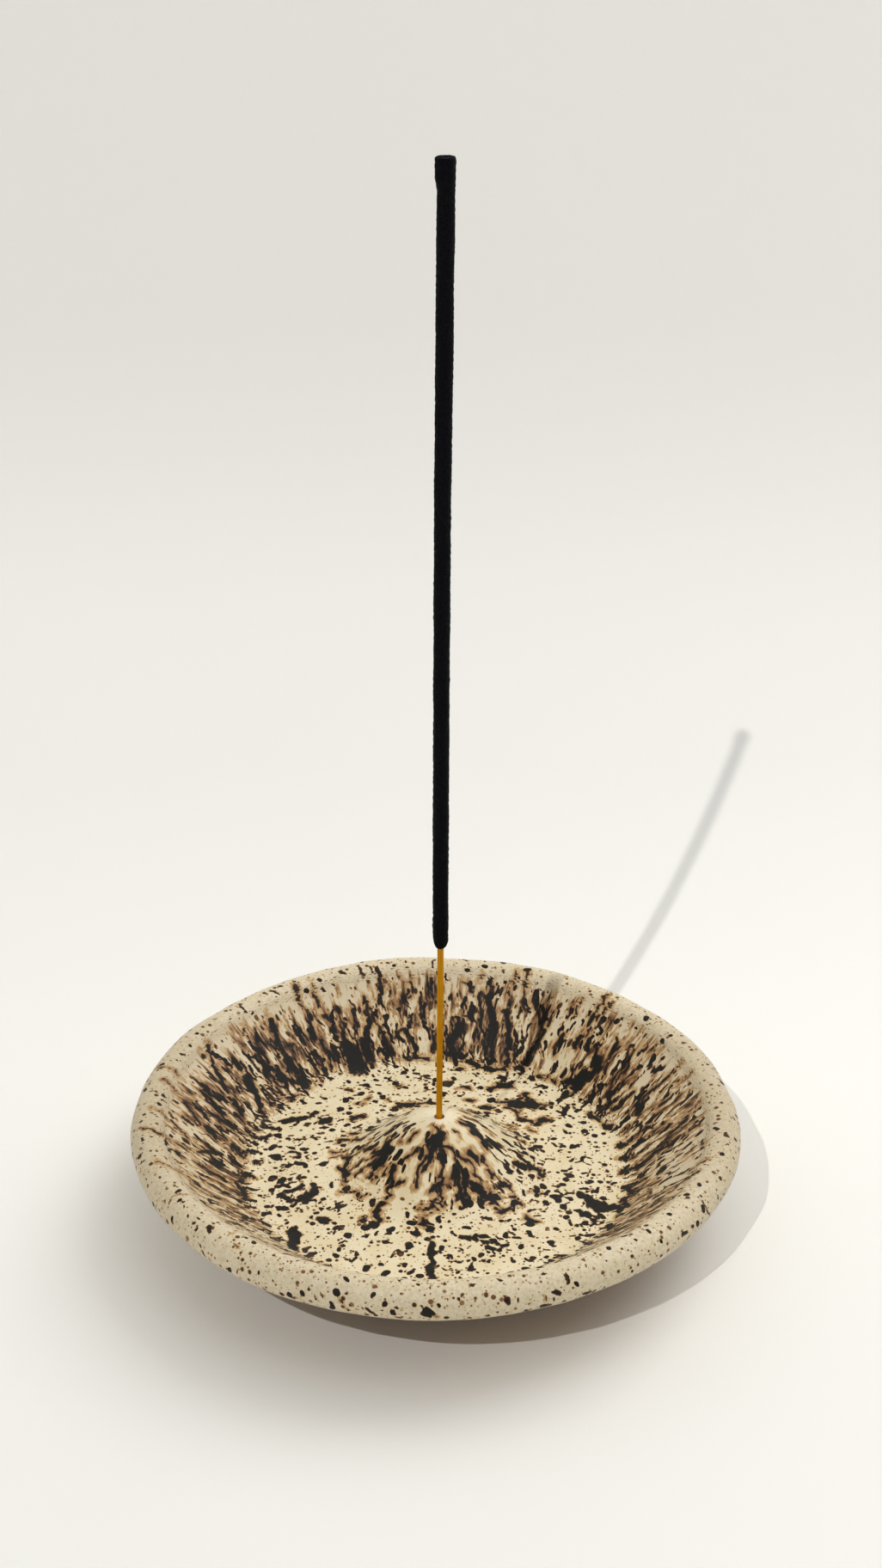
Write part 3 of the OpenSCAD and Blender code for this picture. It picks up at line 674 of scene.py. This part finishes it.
def tube(name, zs, radius, n, cap_ends=True):
    """Rings of points for a tube up the stick's bent axis; radius(z, th) gives its surface."""
    a = np.arange(n) * 2 * math.pi / n
    pts = []
    for z in zs:
        r = radius(np.full(n, z), a)
        ax, ay = stick_axis(z)
        pts.append(np.stack([ax + r * np.cos(a), ay + r * np.sin(a), np.full(n, z)], 1))
    return np.array(pts), a


def tube_mesh(name, pts, centre_z0, centre_z1):
    m, n, _ = pts.shape
    xyz = pts.reshape(-1, 3)
    ax0, ay0 = stick_axis(centre_z0)
    ax1, ay1 = stick_axis(centre_z1)
    xyz = np.concatenate([xyz, [[ax0, ay0, centre_z0], [ax1, ay1, centre_z1]]])
    faces = []
    for j in range(m - 1):
        for i in range(n):
            i2 = (i + 1) % n
            faces.append((j * n + i, j * n + i2, (j + 1) * n + i2, (j + 1) * n + i))
    c0, c1 = m * n, m * n + 1
    for i in range(n):
        i2 = (i + 1) % n
        faces.append((c0, i2, i))
        faces.append((c1, (m - 1) * n + i, (m - 1) * n + i2))
    return make_mesh(name, xyz, faces)


def paste_radius(z, a):
    up = z - Z_P0
    start = np.sqrt(np.clip(1 - (1 - np.clip(up / 3.4, 0, 1)) ** 2, 0, 1))
    base = CORE_R + 0.06 + (1.71 - CORE_R - 0.06) * start
    base = base + 0.07 * smooth(z, 120, 225)
    # the thick end, where the wet paste was pinched off
    end = smooth(z, Z_P1 - 6.6, Z_P1 - 3.6)
    base = base + end * (0.13 + 0.36 * np.clip(np.cos(a - 3.05), -0.15, 1))
    lip = np.clip((z - (Z_P1 - 0.45)) / 0.45, 0, 1)
    base = base * np.sqrt(np.clip(1 - 0.16 * lip**2, 0, 1))
    q = np.stack([1.7 * np.cos(a), 1.7 * np.sin(a), z * 0.8], -1).reshape(-1, 3)
    grain = ROUGH_A(q).reshape(np.shape(z))
    slow = ROUGH_B(q).reshape(np.shape(z))
    lump = 0.20 * np.exp(-((z - Z_P0 - 1.5) / 1.0) ** 2) * np.clip(np.cos(a - 0.5), 0, 1) ** 2
    return base + (0.026 * grain + 0.022 * slow) * (0.25 + 0.75 * start) + lump


n_paste = 84
zs = np.concatenate([Z_P0 + 3.6 * (1 - np.cos(np.linspace(0, 1, 30)[:-1] * math.pi / 2)), np.linspace(Z_P0 + 3.6, Z_P1 - 7, 830)[:-1],
                     np.linspace(Z_P1 - 7, Z_P1 - 0.6, 46)[:-1], Z_P1 - 0.6 * (1 - np.sin(np.linspace(0, 1, 9) * math.pi / 2))])
pts, a = tube("incense_paste", zs, paste_radius, n_paste)
# close the top with a slightly sunken, crumbly end round the core
tops = []
for k, (f, dz) in enumerate(((0.82, 0.05), (0.62, -0.02), (0.46, -0.10))):
    ring = pts[-1].copy()
    ax, ay = stick_axis(Z_P1)
    ring[:, 0] = ax + (ring[:, 0] - ax) * f
    ring[:, 1] = ay + (ring[:, 1] - ay) * f
    ring[:, 2] = Z_P1 + dz + 0.05 * ROUGH_A(ring * 1.5)
    # the nick in the far side of the end
    ring[:, 2] -= 0.50 * np.exp(-((a - 1.74) / (0.20, 0.27, 0.4)[k]) ** 2)
    tops.append(ring)
edge = pts[-1]
edge[:, 2] -= 0.50 * np.exp(-((a - 1.74) / 0.16) ** 2) + 0.10 * np.exp(-((a - 4.1) / 0.45) ** 2)
pts = np.concatenate([pts, np.array(tops)])
paste = tube_mesh("incense_paste_roll", pts, Z_P0, Z_P1 - 0.14)

FIBRE = Waves(41, 0.9, octaves=2)


def core_radius(z, a):
    q = np.stack([0.9 * np.cos(a), 0.9 * np.sin(a), z * 0.02], -1).reshape(-1, 3)
    f = FIBRE(q).reshape(np.shape(z))
    # split bamboo: nearly round, with one flatter face and fine lengthwise ridges
    return CORE_R * (0.985 + 0.022 * f - 0.035 * np.clip(np.cos(a - 4.4), 0, 1) ** 3)


def core_piece(name, z0, z1, count, n=40, round0=False, round1=False):
    zs = np.linspace(z0, z1, count)
    if round0:
        zs = np.concatenate([z0 + np.array([0, 0.03, 0.09]), np.linspace(z0 + 0.2, z1, count)])
    pts, a = tube(name, zs, core_radius, n)
    if round0:
        for i, k in ((0, 0.80), (1, 0.93), (2, 0.985)):
            ax, ay = stick_axis(zs[i])
            pts[i][:, 0] = ax + (pts[i][:, 0] - ax) * k
            pts[i][:, 1] = ay + (pts[i][:, 1] - ay) * k
    if round1:
        # the cut end, splintered a little
        top = pts[-1].copy()
        top[:, 2] += 0.10 * np.cos(a * 2 + 1) + 0.06 * np.cos(a * 5)
        pts[-1] = top
    return tube_mesh(name, pts, z0, z1)


Z_J0, Z_J1 = Z_P0 + 4.0, Z_P1 - 5.0
core_foot = core_piece("bamboo_core_foot", Z_HOLE, Z_J0, 150, n=44, round0=True)
core_mid = core_piece("bamboo_core_middle", Z_J0, Z_J1, 60, n=24)
core_tip = core_piece("bamboo_core_tip", Z_J1, Z_P1 - 0.45, 16, n=40, round1=True)


# ---------------------------------------------------------------------------
# node materials
# ---------------------------------------------------------------------------
def srgb(r, g, b):
    def f(c):
        c /= 255.0
        return c / 12.92 if c <= 0.04045 else ((c + 0.055) / 1.055) ** 2.4
    return (f(r), f(g), f(b), 1.0)


class Tree:
    """Short words for building a node material."""

    def __init__(self, name):
        self.mat = bpy.data.materials.new(name)
        self.mat.use_nodes = True
        self.nt = self.mat.node_tree
        self.nt.nodes.clear()
        self.out = self.nt.nodes.new("ShaderNodeOutputMaterial")
        self.bsdf = self.nt.nodes.new("ShaderNodeBsdfPrincipled")
        self.nt.links.new(self.bsdf.outputs[0], self.out.inputs["Surface"])

    def put(self, socket, v):
        if isinstance(v, bpy.types.NodeSocket):
            self.nt.links.new(v, socket)
        elif v is not None:
            socket.default_value = v

    def math(self, op, a, b=None, c=None, clamp=False):
        n = self.nt.nodes.new("ShaderNodeMath")
        n.operation, n.use_clamp = op, clamp
        for i, v in enumerate((a, b, c)):
            if v is not None:
                self.put(n.inputs[i], v)
        return n.outputs[0]

    def add(self, a, b, clamp=False):
        return self.math("ADD", a, b, clamp=clamp)

    def sub(self, a, b, clamp=False):
        return self.math("SUBTRACT", a, b, clamp=clamp)

    def mul(self, a, b, clamp=False):
        return self.math("MULTIPLY", a, b, clamp=clamp)

    def madd(self, a, b, c):
        return self.math("MULTIPLY_ADD", a, b, c)

    def max(self, a, b):
        return self.math("MAXIMUM", a, b)

    def min(self, a, b):
        return self.math("MINIMUM", a, b)

    def step(self, x, lo, hi):
        """Smoothstep from lo to hi; lo over hi turns it round."""
        n = self.nt.nodes.new("ShaderNodeMapRange")
        n.interpolation_type = "SMOOTHSTEP"
        rev = not isinstance(lo, bpy.types.NodeSocket) and not isinstance(hi, bpy.types.NodeSocket) and lo > hi
        self.put(n.inputs["Value"], x)
        if rev:
            self.put(n.inputs["From Min"], hi)
            self.put(n.inputs["From Max"], lo)
            n.inputs["To Min"].default_value, n.inputs["To Max"].default_value = 1.0, 0.0
        else:
            self.put(n.inputs["From Min"], lo)
            self.put(n.inputs["From Max"], hi)
            n.inputs["To Min"].default_value, n.inputs["To Max"].default_value = 0.0, 1.0
        return n.outputs["Result"]

    def attr(self, name, out="Fac"):
        n = self.nt.nodes.new("ShaderNodeAttribute")
        n.attribute_name = name
        return n.outputs[out]

    def obj(self):
        n = self.nt.nodes.new("ShaderNodeTexCoord")
        return n.outputs["Object"]

    def vscale(self, v, s):
        n = self.nt.nodes.new("ShaderNodeVectorMath")
        n.operation = "MULTIPLY"
        self.put(n.inputs[0], v)
        n.inputs[1].default_value = s if isinstance(s, tuple) else (s, s, s)
        return n.outputs[0]

    def vadd(self, a, b):
        n = self.nt.nodes.new("ShaderNodeVectorMath")
        n.operation = "ADD"
        self.put(n.inputs[0], a)
        self.put(n.inputs[1], b)
        return n.outputs[0]

    def vmix(self, f, a, b):
        n = self.nt.nodes.new("ShaderNodeMix")
        n.data_type = "VECTOR"
        n.clamp_factor = True
        self.put(n.inputs["Factor"], f)
        ins = [i for i in n.inputs if i.type == "VECTOR" and i.name in ("A", "B")]
        self.put(ins[0], a)
        self.put(ins[1], b)
        return [o for o in n.outputs if o.type == "VECTOR"][0]

    def mix(self, f, a, b, mode="MIX"):
        n = self.nt.nodes.new("ShaderNodeMix")
        n.data_type = "RGBA"
        n.blend_type = mode
        n.clamp_factor = True
        self.put(n.inputs[0], f)
        ins = [i for i in n.inputs if i.type == "RGBA"]
        self.put(ins[0], a)
        self.put(ins[1], b)
        return [o for o in n.outputs if o.type == "RGBA"][0]

    def noise(self, v, scale=1.0, detail=2.0, rough=0.5, dist=0.0, colour=False, lac=2.0):
        n = self.nt.nodes.new("ShaderNodeTexNoise")
        self.put(n.inputs["Vector"], v)
        n.inputs["Scale"].default_value = scale
        n.inputs["Detail"].default_value = detail
        n.inputs["Roughness"].default_value = rough
        n.inputs["Lacunarity"].default_value = lac
        n.inputs["Distortion"].default_value = dist
        return n.outputs["Color" if colour else "Fac"]

    def cells(self, v, scale=1.0, rand=1.0, feature="F1", metric="EUCLIDEAN"):
        n = self.nt.nodes.new("ShaderNodeTexVoronoi")
        n.feature = feature
        n.distance = metric
        self.put(n.inputs["Vector"], v)
        n.inputs["Scale"].default_value = scale
        n.inputs["Randomness"].default_value = rand
        return n.outputs["Distance"], (n.outputs["Color"] if "Color" in n.outputs else None)

    def split(self, c):
        n = self.nt.nodes.new("ShaderNodeSeparateColor")
        self.put(n.inputs[0], c)
        return n.outputs[0], n.outputs[1], n.outputs[2]

    def ramp(self, f, stops, interp="LINEAR"):
        n = self.nt.nodes.new("ShaderNodeValToRGB")
        n.color_ramp.interpolation = interp
        el = n.color_ramp.elements
        el[0].position, el[0].color = stops[0]
        el[1].position, el[1].color = stops[-1]
        for p_, c_ in stops[1:-1]:
            e = el.new(p_)
            e.color = c_
        self.put(n.inputs[0], f)
        return n.outputs["Color"]

    def bump(self, height, dist, strength=1.0, normal=None):
        n = self.nt.nodes.new("ShaderNodeBump")
        n.inputs["Distance"].default_value = dist
        n.inputs["Strength"].default_value = strength
        self.put(n.inputs["Height"], height)
        if normal is not None:
            self.put(n.inputs["Normal"], normal)
        return n.outputs["Normal"]


def glaze_material():
    t = Tree("speckled_glaze")
    P = t.vscale(t.obj(), 1000.0)                        # mm
    F = t.attr("flow", "Vector")                         # mm, (round, round, along the section)
    wall, rim, mound = t.split(t.attr("zones", "Color"))
    down = t.attr("zones", "Alpha")
    lip = t.attr("lip")
    dark_in, spots_in, brown_in = t.attr("pig_dark"), t.attr("pig_spots"), t.attr("pig_brown")

    # coordinates: plain on the floor, drawn out along the fall of the wall and the mound
    bend_n = t.noise(t.vscale(F, (0.17, 0.17, 0.10)), 1.0, 2.0, 0.5, colour=True)
    bend = t.vscale(t.vadd(bend_n, (-0.5, -0.5, -0.5)), (3.4, 3.4, 0.0))
    Fb = t.vadd(F, bend)
    Fl = t.vscale(Fb, (1.0, 1.0, 0.26))                  # long runs
    Fm = t.vscale(Fb, (1.0, 1.0, 0.42))                  # short runs
    steep = t.max(wall, t.mul(mound, 0.65))
    Q = t.vmix(steep, P, Fm)

    # --- edges of strokes and drops, ragged
    rag_a = t.noise(Q, 0.75, 4.0, 0.62)
    rag_b = t.noise(Q, 2.1, 3.0, 0.6)
    rag = t.add(t.mul(t.sub(rag_a, 0.5), 0.88), t.mul(t.sub(rag_b, 0.5), 0.46))
    strokes = t.step(t.add(dark_in, t.mul(rag, t.step(dark_in, 0.0, 0.30))), 0.40, 0.58)
    drops = t.step(t.add(spots_in, t.mul(rag, 0.15)), 0.42, 0.60)
    drop_tone = t.madd(t.noise(P, 0.35, 1.0, 0.5), 1.5, 0.10)
    halo = t.step(t.add(brown_in, t.mul(rag, 0.9)), 0.22, 0.95)

    # --- finer drops than the mesh carries
    def specks(vec, scale, r_lo, r_hi, chance, edge, wob_scale, wob):
        w = t.noise(vec, wob_scale, 2.0, 0.6)
        d, c = t.cells(vec, scale)
        cr, cg, cb = t.split(c)
        rad = t.madd(t.math("POWER", cr, 1.8), r_hi - r_lo, r_lo)
        v = t.step(t.sub(rad, t.add(d, t.mul(t.sub(w, 0.5), wob))), -edge, edge)
        return t.mul(v, t.math("LESS_THAN", cg, chance)), cb

    fine_v, fine_c = specks(Q, 0.62, 0.13, 0.37, 0.62, 0.09, 1.2, 0.24)
    tiny_v, tiny_c = specks(Q, 1.35, 0.16, 0.40, 0.50, 0.14, 2.6, 0.22)

    # --- the runs on the wall; each starts at its own height
    st_a = t.noise(Fl, 0.34, 2.0, 0.55)
    st_b = t.noise(t.vscale(Fb, (1.0, 1.0, 0.19)), 0.86, 3.0, 0.56)
    st_c = t.noise(Fm, 1.80, 2.0, 0.60)
    st_d = t.noise(t.vscale(F, (1.0, 1.0, 0.5)), 0.085, 1.0, 0.5)
    top_n = t.noise(t.vscale(F, (1.0, 1.0, 0.02)), 0.75, 3.0, 0.6)
    n = t.mul(t.sub(st_a, 0.5), 1.7)
    n = t.add(n, t.mul(t.sub(st_b, 0.5), 3.0))
    n = t.add(n, t.mul(t.sub(st_c, 0.5), 0.8))
    n = t.add(n, t.mul(t.sub(st_d, 0.5), 1.2))
    mass = t.add(t.add(t.madd(t.step(down, 0.25, 1.0), -0.03, 0.150), t.mul(t.attr("side"), 0.040)), n)
    mass = t.add(mass, t.mul(t.step(t.add(brown_in, t.mul(rag, 0.6)), 0.1, 1.0), 0.24))
    begin = t.step(t.madd(t.sub(top_n, 0.5), 1.3, down), -0.08, 0.22)
    wash = t.mul(t.mul(t.math("MULTIPLY", mass, 0.92, clamp=True), begin), wall)

    # --- pigment: 0 none, 0.5 brown, 1 black
    speck = t.max(t.mul(fine_v, t.madd(fine_c, 0.40, 0.60)), t.mul(tiny_v, t.madd(tiny_c, 0.75, 0.12)))
    speck = t.mul(speck, lip)
    drops = t.mul(t.mul(drops, t.min(t.add(t.add(drop_tone, 0.25), t.mul(rim, 0.22)), 1.0)), lip)
    depth = t.step(t.add(dark_in, t.mul(rag, 0.35)), 0.45, 1.0)   # thin at its edge, pooled in the middle
    strokes = t.mul(strokes, t.madd(depth, 0.30, 0.70))
    pig = t.max(t.max(strokes, drops), t.mul(speck, t.sub(1.0, t.add(t.mul(rim, 0.20), t.mul(mound, 0.60)))))
    brown = t.mul(t.mul(halo, 0.46), t.madd(t.noise(Q, 0.9, 3.0, 0.65), 1.5, 0.20))
    brown = t.max(brown, wash)
    under = t.attr("under")
    brown = t.max(brown, t.mul(under, t.madd(t.noise(Fm, 0.5, 3.0, 0.6), 0.9, -0.12)))
    total = t.math("ADD", t.max(pig, brown), t.mul(t.min(pig, brown), 0.30), clamp=True)

    # --- colours
    mot_a = t.noise(P, 0.16, 3.0, 0.55)
    mot_b = t.noise(Q, 1.2, 3.0, 0.6)
    cream = t.mix(t.step(mot_a, 0.35, 0.68), srgb(228, 215, 182), srgb(221, 205, 166))
    cream = t.mix(t.mul(t.step(mot_b, 0.52, 0.75), 0.40), cream, srgb(212, 193, 156))
    cream = t.mix(t.mul(wall, t.madd(down, -0.75, 0.88)), cream, srgb(206, 191, 162))
    cream = t.mix(t.mul(rim, 0.75), cream, t.mix(t.step(mot_b, 0.40, 0.66), srgb(214, 200, 172), srgb(195, 179, 148)))
    side = t.attr("side")
    # painted shade: the rim's cream is darker at its left and right sides
    cream = t.mix(t.mul(t.mul(rim, t.max(side, 0.0)), 0.38), cream, srgb(160, 142, 110))
    # painted highlight: the cream is lighter round the lip of the hole
    cream = t.mix(t.mul(t.sub(1.0, lip), 0.55), cream, srgb(238, 228, 206))
    pigment = t.ramp(total, [
        (0.0, (1, 1, 1, 1)), (0.06, (1, 1, 1, 1)), (0.20, srgb(224, 200, 160)), (0.36, srgb(174, 136, 94)),
        (0.56, srgb(112, 78, 49)), (0.76, srgb(54, 38, 26)), (1.0, srgb(24, 23, 19))])
    thin = t.step(total, 0.10, 0.60)
    wet = t.mix(1.0, cream, pigment, "MULTIPLY")
    skin = t.mix(thin, wet, pigment)
    t.put(t.bsdf.inputs["Base Color"], t.mix(t.mul(t.attr("hole"), 0.9), skin, srgb(134, 96, 30)))

    # --- surface
    sat = t.noise(P, 0.9, 3.0, 0.6)
    t.put(t.bsdf.inputs["Roughness"], t.add(t.madd(sat, 0.22, 0.33), t.mul(total, 0.08)))
    t.bsdf.inputs["IOR"].default_value = 1.5
    t.put(t.bsdf.inputs["Specular IOR Level"], t.madd(total, -0.16, 0.34))
    h = t.add(t.mul(t.noise(P, 0.42, 3.0, 0.5), 0.60), t.mul(t.noise(P, 2.6, 2.0, 0.5), 0.12))
    h = t.add(h, t.mul(total, 0.16))
    t.put(t.bsdf.inputs["Normal"], t.bump(h, 0.00018, 1.0))
    return t.mat


def clay_material():
    t = Tree("bare_stoneware")
    P = t.vscale(t.obj(), 1000.0)
    big = t.noise(P, 0.12, 3.0, 0.6)
    grit = t.noise(P, 2.4, 3.0, 0.7)
    col = t.mix(t.step(big, 0.35, 0.7), srgb(186, 156, 122), srgb(164, 130, 96))
    col = t.mix(t.mul(t.step(grit, 0.50, 0.72), 0.5), col, srgb(140, 108, 78))
    d, c = t.cells(P, 1.15)
    r, g, b = t.split(c)
    spot = t.mul(t.step(t.sub(t.madd(r, 0.20, 0.06), d), -0.05, 0.05), t.math("LESS_THAN", g, 0.35))
    col = t.mix(t.mul(spot, 0.8), col, srgb(70, 48, 34))
    t.put(t.bsdf.inputs["Base Color"], col)
    t.put(t.bsdf.inputs["Roughness"], t.madd(grit, 0.25, 0.68))
    t.bsdf.inputs["Specular IOR Level"].default_value = 0.3
    # turning lines left by the tool, and the open grain of the clay
    sep = t.nt.nodes.new("ShaderNodeSeparateXYZ")
    t.put(sep.inputs[0], P)
    rad = t.math("SQRT", t.add(t.mul(sep.outputs[0], sep.outputs[0]), t.mul(sep.outputs[1], sep.outputs[1])))
    lines = t.math("SINE", t.mul(rad, 6.0))
    h = t.add(t.mul(lines, 0.15), t.mul(grit, 1.0))
    t.put(t.bsdf.inputs["Normal"], t.bump(h, 0.0002, 1.0))
    return t.mat


def bamboo_material():
    t = Tree("dyed_bamboo")
    P = t.vscale(t.obj(), 1000.0)
    fib = t.noise(t.vscale(P, (7.0, 7.0, 0.16)), 1.0, 4.0, 0.65)
    fib2 = t.noise(t.vscale(P, (16.0, 16.0, 0.5)), 1.0, 2.0, 0.6)
    slow = t.noise(t.vscale(P, (0.6, 0.6, 0.09)), 1.0, 2.0, 0.5)
    col = t.mix(t.step(fib, 0.36, 0.66), srgb(192, 128, 0), srgb(214, 150, 6))
    col = t.mix(t.mul(t.step(fib2, 0.58, 0.78), 0.35), col, srgb(226, 178, 60))
    col = t.mix(t.mul(t.step(slow, 0.50, 0.75), 0.35), col, srgb(164, 104, 0))
    t.put(t.bsdf.inputs["Base Color"], col)
    t.put(t.bsdf.inputs["Roughness"], t.madd(fib, 0.25, 0.42))
    t.bsdf.inputs["Specular IOR Level"].default_value = 0.12
    t.put(t.bsdf.inputs["Normal"], t.bump(t.add(fib, t.mul(fib2, 0.5)), 0.00006, 1.0))
    return t.mat


def paste_material():
    t = Tree("charcoal_paste")
    P = t.vscale(t.obj(), 1000.0)
    g1 = t.noise(P, 3.2, 4.0, 0.65)
    g2 = t.noise(P, 9.0, 2.0, 0.6)
    d, c = t.cells(P, 4.2)
    r, g, b = t.split(c)
    # pale grey specks in the paste: its lighter grains, and painted glints
    pale_specks_and_glints = t.mul(t.step(t.sub(t.madd(r, 0.22, 0.02), d), -0.03, 0.04), t.math("LESS_THAN", g, 0.16))
    col = t.mix(t.step(g1, 0.35, 0.70), srgb(5, 6, 10), srgb(17, 17, 22))
    col = t.mix(t.mul(pale_specks_and_glints, 0.7), col, srgb(70, 69, 72))
    t.put(t.bsdf.inputs["Base Color"], col)
    t.put(t.bsdf.inputs["Roughness"], t.madd(g2, 0.45, 0.42))
    t.bsdf.inputs["Specular IOR Level"].default_value = 0.05
    h = t.add(t.mul(g1, 1.0), t.mul(g2, 0.5))
    t.put(t.bsdf.inputs["Normal"], t.bump(h, 0.00016, 1.0))
    return t.mat


def dress(ob, mat):
    ob.data.materials.clear()
    ob.data.materials.append(mat)


glaze = glaze_material()
bamboo = bamboo_material()
dress(glaze_inside, glaze)
dress(glaze_outside, glaze)
dress(clay, clay_material())
dress(paste, paste_material())
for ob in (core_foot, core_mid, core_tip):
    dress(ob, bamboo)

# ---------------------------------------------------------------------------
# who moves with what
# ---------------------------------------------------------------------------
for ob in (glaze_inside, glaze_outside, clay):
    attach(ob, "dish")
for ob in (paste, core_foot, core_mid, core_tip):
    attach(ob, "stick")
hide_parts("glaze_coat")
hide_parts("glaze_coat")
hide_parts("dish_body")
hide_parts("incense_paste")
for ob in (core_foot, core_mid, core_tip):
    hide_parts("bamboo_core")


# ---------------------------------------------------------------------------
# stage: a pale sheet that lies flat and sweeps up behind the dish
# ---------------------------------------------------------------------------
def plain(name, colour, rough):
    t = Tree(name)
    P = t.vscale(t.obj(), 1000.0)
    n = t.noise(P, 0.02, 2.0, 0.5)
    t.put(t.bsdf.inputs["Base Color"], t.mix(n, colour, tuple(c * 0.985 for c in colour[:3]) + (1,)))
    t.bsdf.inputs["Roughness"].default_value = rough
    t.bsdf.inputs["Specular IOR Level"].default_value = 0.25
    return t


def grid_sheet(name, xs, line):
    """A sheet whose section is line, (y, z) in mm, drawn along xs."""
    verts = [(x, y, z) for y, z in line for x in xs]
    n = len(xs)
    faces = [(j * n + i, j * n + i + 1, (j + 1) * n + i + 1, (j + 1) * n + i) for j in range(len(line) - 1) for i in range(n - 1)]
    return make_mesh(name, np.array(verts, float), faces)


SWEEP_Y, SWEEP_R = 58.0, 170.0
floor = grid_sheet("stage_floor", [-4000, 4000], [(-3000, 0.0), (4000, 0.0)])
line = [(SWEEP_Y - 6.0, -0.02)]
for i in range(0, 41):
    a = math.radians(84 * i / 40)
    line.append((SWEEP_Y + SWEEP_R * math.sin(a), 0.03 + SWEEP_R * (1 - math.cos(a))))
dy, dz = line[-1][0] - line[-2][0], line[-1][1] - line[-2][1]
k = 1500.0 / math.hypot(dy, dz)
line.append((line[-1][0] + dy * k, line[-1][1] + dz * k))
sweep = grid_sheet("stage_sweep", [-1600, 1600], line)
t_floor = plain("stage_paper", srgb(243, 242, 237), 0.55)
dress(floor, t_floor.mat)
t_sweep = plain("stage_paper_sweep", srgb(243, 242, 237), 0.55)
high = t_sweep.nt.nodes.new("ShaderNodeSeparateXYZ")
t_sweep.put(high.inputs[0], t_sweep.obj())
# painted light: the sweep's colour gets lighter the higher it rises, fully from 90 mm up, in place of light that
# doesn't reach it
t_sweep.put(t_sweep.bsdf.inputs["Base Color"], t_sweep.mix(t_sweep.step(high.outputs[2], 0.0, 0.09), srgb(242, 241, 236), srgb(251, 250, 246)))
# seen from behind the sheet isn't there, so that the object shows from every side
geo = t_sweep.nt.nodes.new("ShaderNodeNewGeometry")
clear = t_sweep.nt.nodes.new("ShaderNodeBsdfTransparent")
mixer = t_sweep.nt.nodes.new("ShaderNodeMixShader")
t_sweep.nt.links.new(geo.outputs["Backfacing"], mixer.inputs[0])
t_sweep.nt.links.new(t_sweep.bsdf.outputs[0], mixer.inputs[1])
t_sweep.nt.links.new(clear.outputs[0], mixer.inputs[2])
t_sweep.nt.links.new(mixer.outputs[0], t_sweep.out.inputs["Surface"])
dress(sweep, t_sweep.mat)
sweep.visible_shadow = False      # the soft light stands behind it

# ---------------------------------------------------------------------------
# light and camera
# ---------------------------------------------------------------------------
scene = bpy.context.scene
world = bpy.data.worlds.new("studio")
scene.world = world
world.use_nodes = True
bg = world.node_tree.nodes.get("Background") or world.node_tree.nodes.new("ShaderNodeBackground")
bg.inputs[0].default_value = (1.0, 0.994, 0.982, 1)
bg.inputs[1].default_value = 0.27

az, el = math.radians(63.0), math.radians(46.2)     # where the shadows fall, and how high the light stands
to_light = np.array((-math.cos(az) * math.cos(el), -math.sin(az) * math.cos(el), math.sin(el)))
sun_data = bpy.data.lights.new("key", "SUN")
sun_data.energy = 0.95
sun_data.angle = math.radians(0.6)
sun_data.color = (1.0, 0.985, 0.955)
sun = bpy.data.objects.new("key", sun_data)
scene.collection.objects.link(sun)
from mathutils import Vector
sun.rotation_mode = "QUATERNION"
sun.rotation_quaternion = Vector(tuple(to_light)).to_track_quat("Z", "Y")


def softbox(name, pos, target, size, power, colour=(1, 1, 1)):
    d = bpy.data.lights.new(name, "AREA")
    d.shape, d.size, d.energy, d.color = "SQUARE", size, power, colour
    o = bpy.data.objects.new(name, d)
    scene.collection.objects.link(o)
    o.location = pos
    o.rotation_mode = "QUATERNION"
    o.rotation_quaternion = (Vector(pos) - Vector(target)).to_track_quat("Z", "Y")
    return o


softbox("back_soft", (0.80, 0.55, 1.15), (0.05, 0, 0.02), 1.0, 9.0)
softbox("top_soft", (0.40, -0.30, 1.40), (0.1, 0.05, 0.02), 1.2, 4.4)

cam_data = bpy.data.cameras.new("camera")
cam_data.lens = 2800.0 * 36.0 / 1824.0
cam_data.sensor_width = 36.0
cam_data.clip_start, cam_data.clip_end = 0.01, 50.0
cam = bpy.data.objects.new("camera", cam_data)
scene.collection.objects.link(cam)
cam.location = (0.39 * MM, -459.86 * MM, 331.29 * MM)
cam.rotation_euler = (math.radians(90 - 25.94), 0, 0)
scene.camera = cam
scene.view_settings.view_transform = "Standard"
scene.view_settings.look = "None"
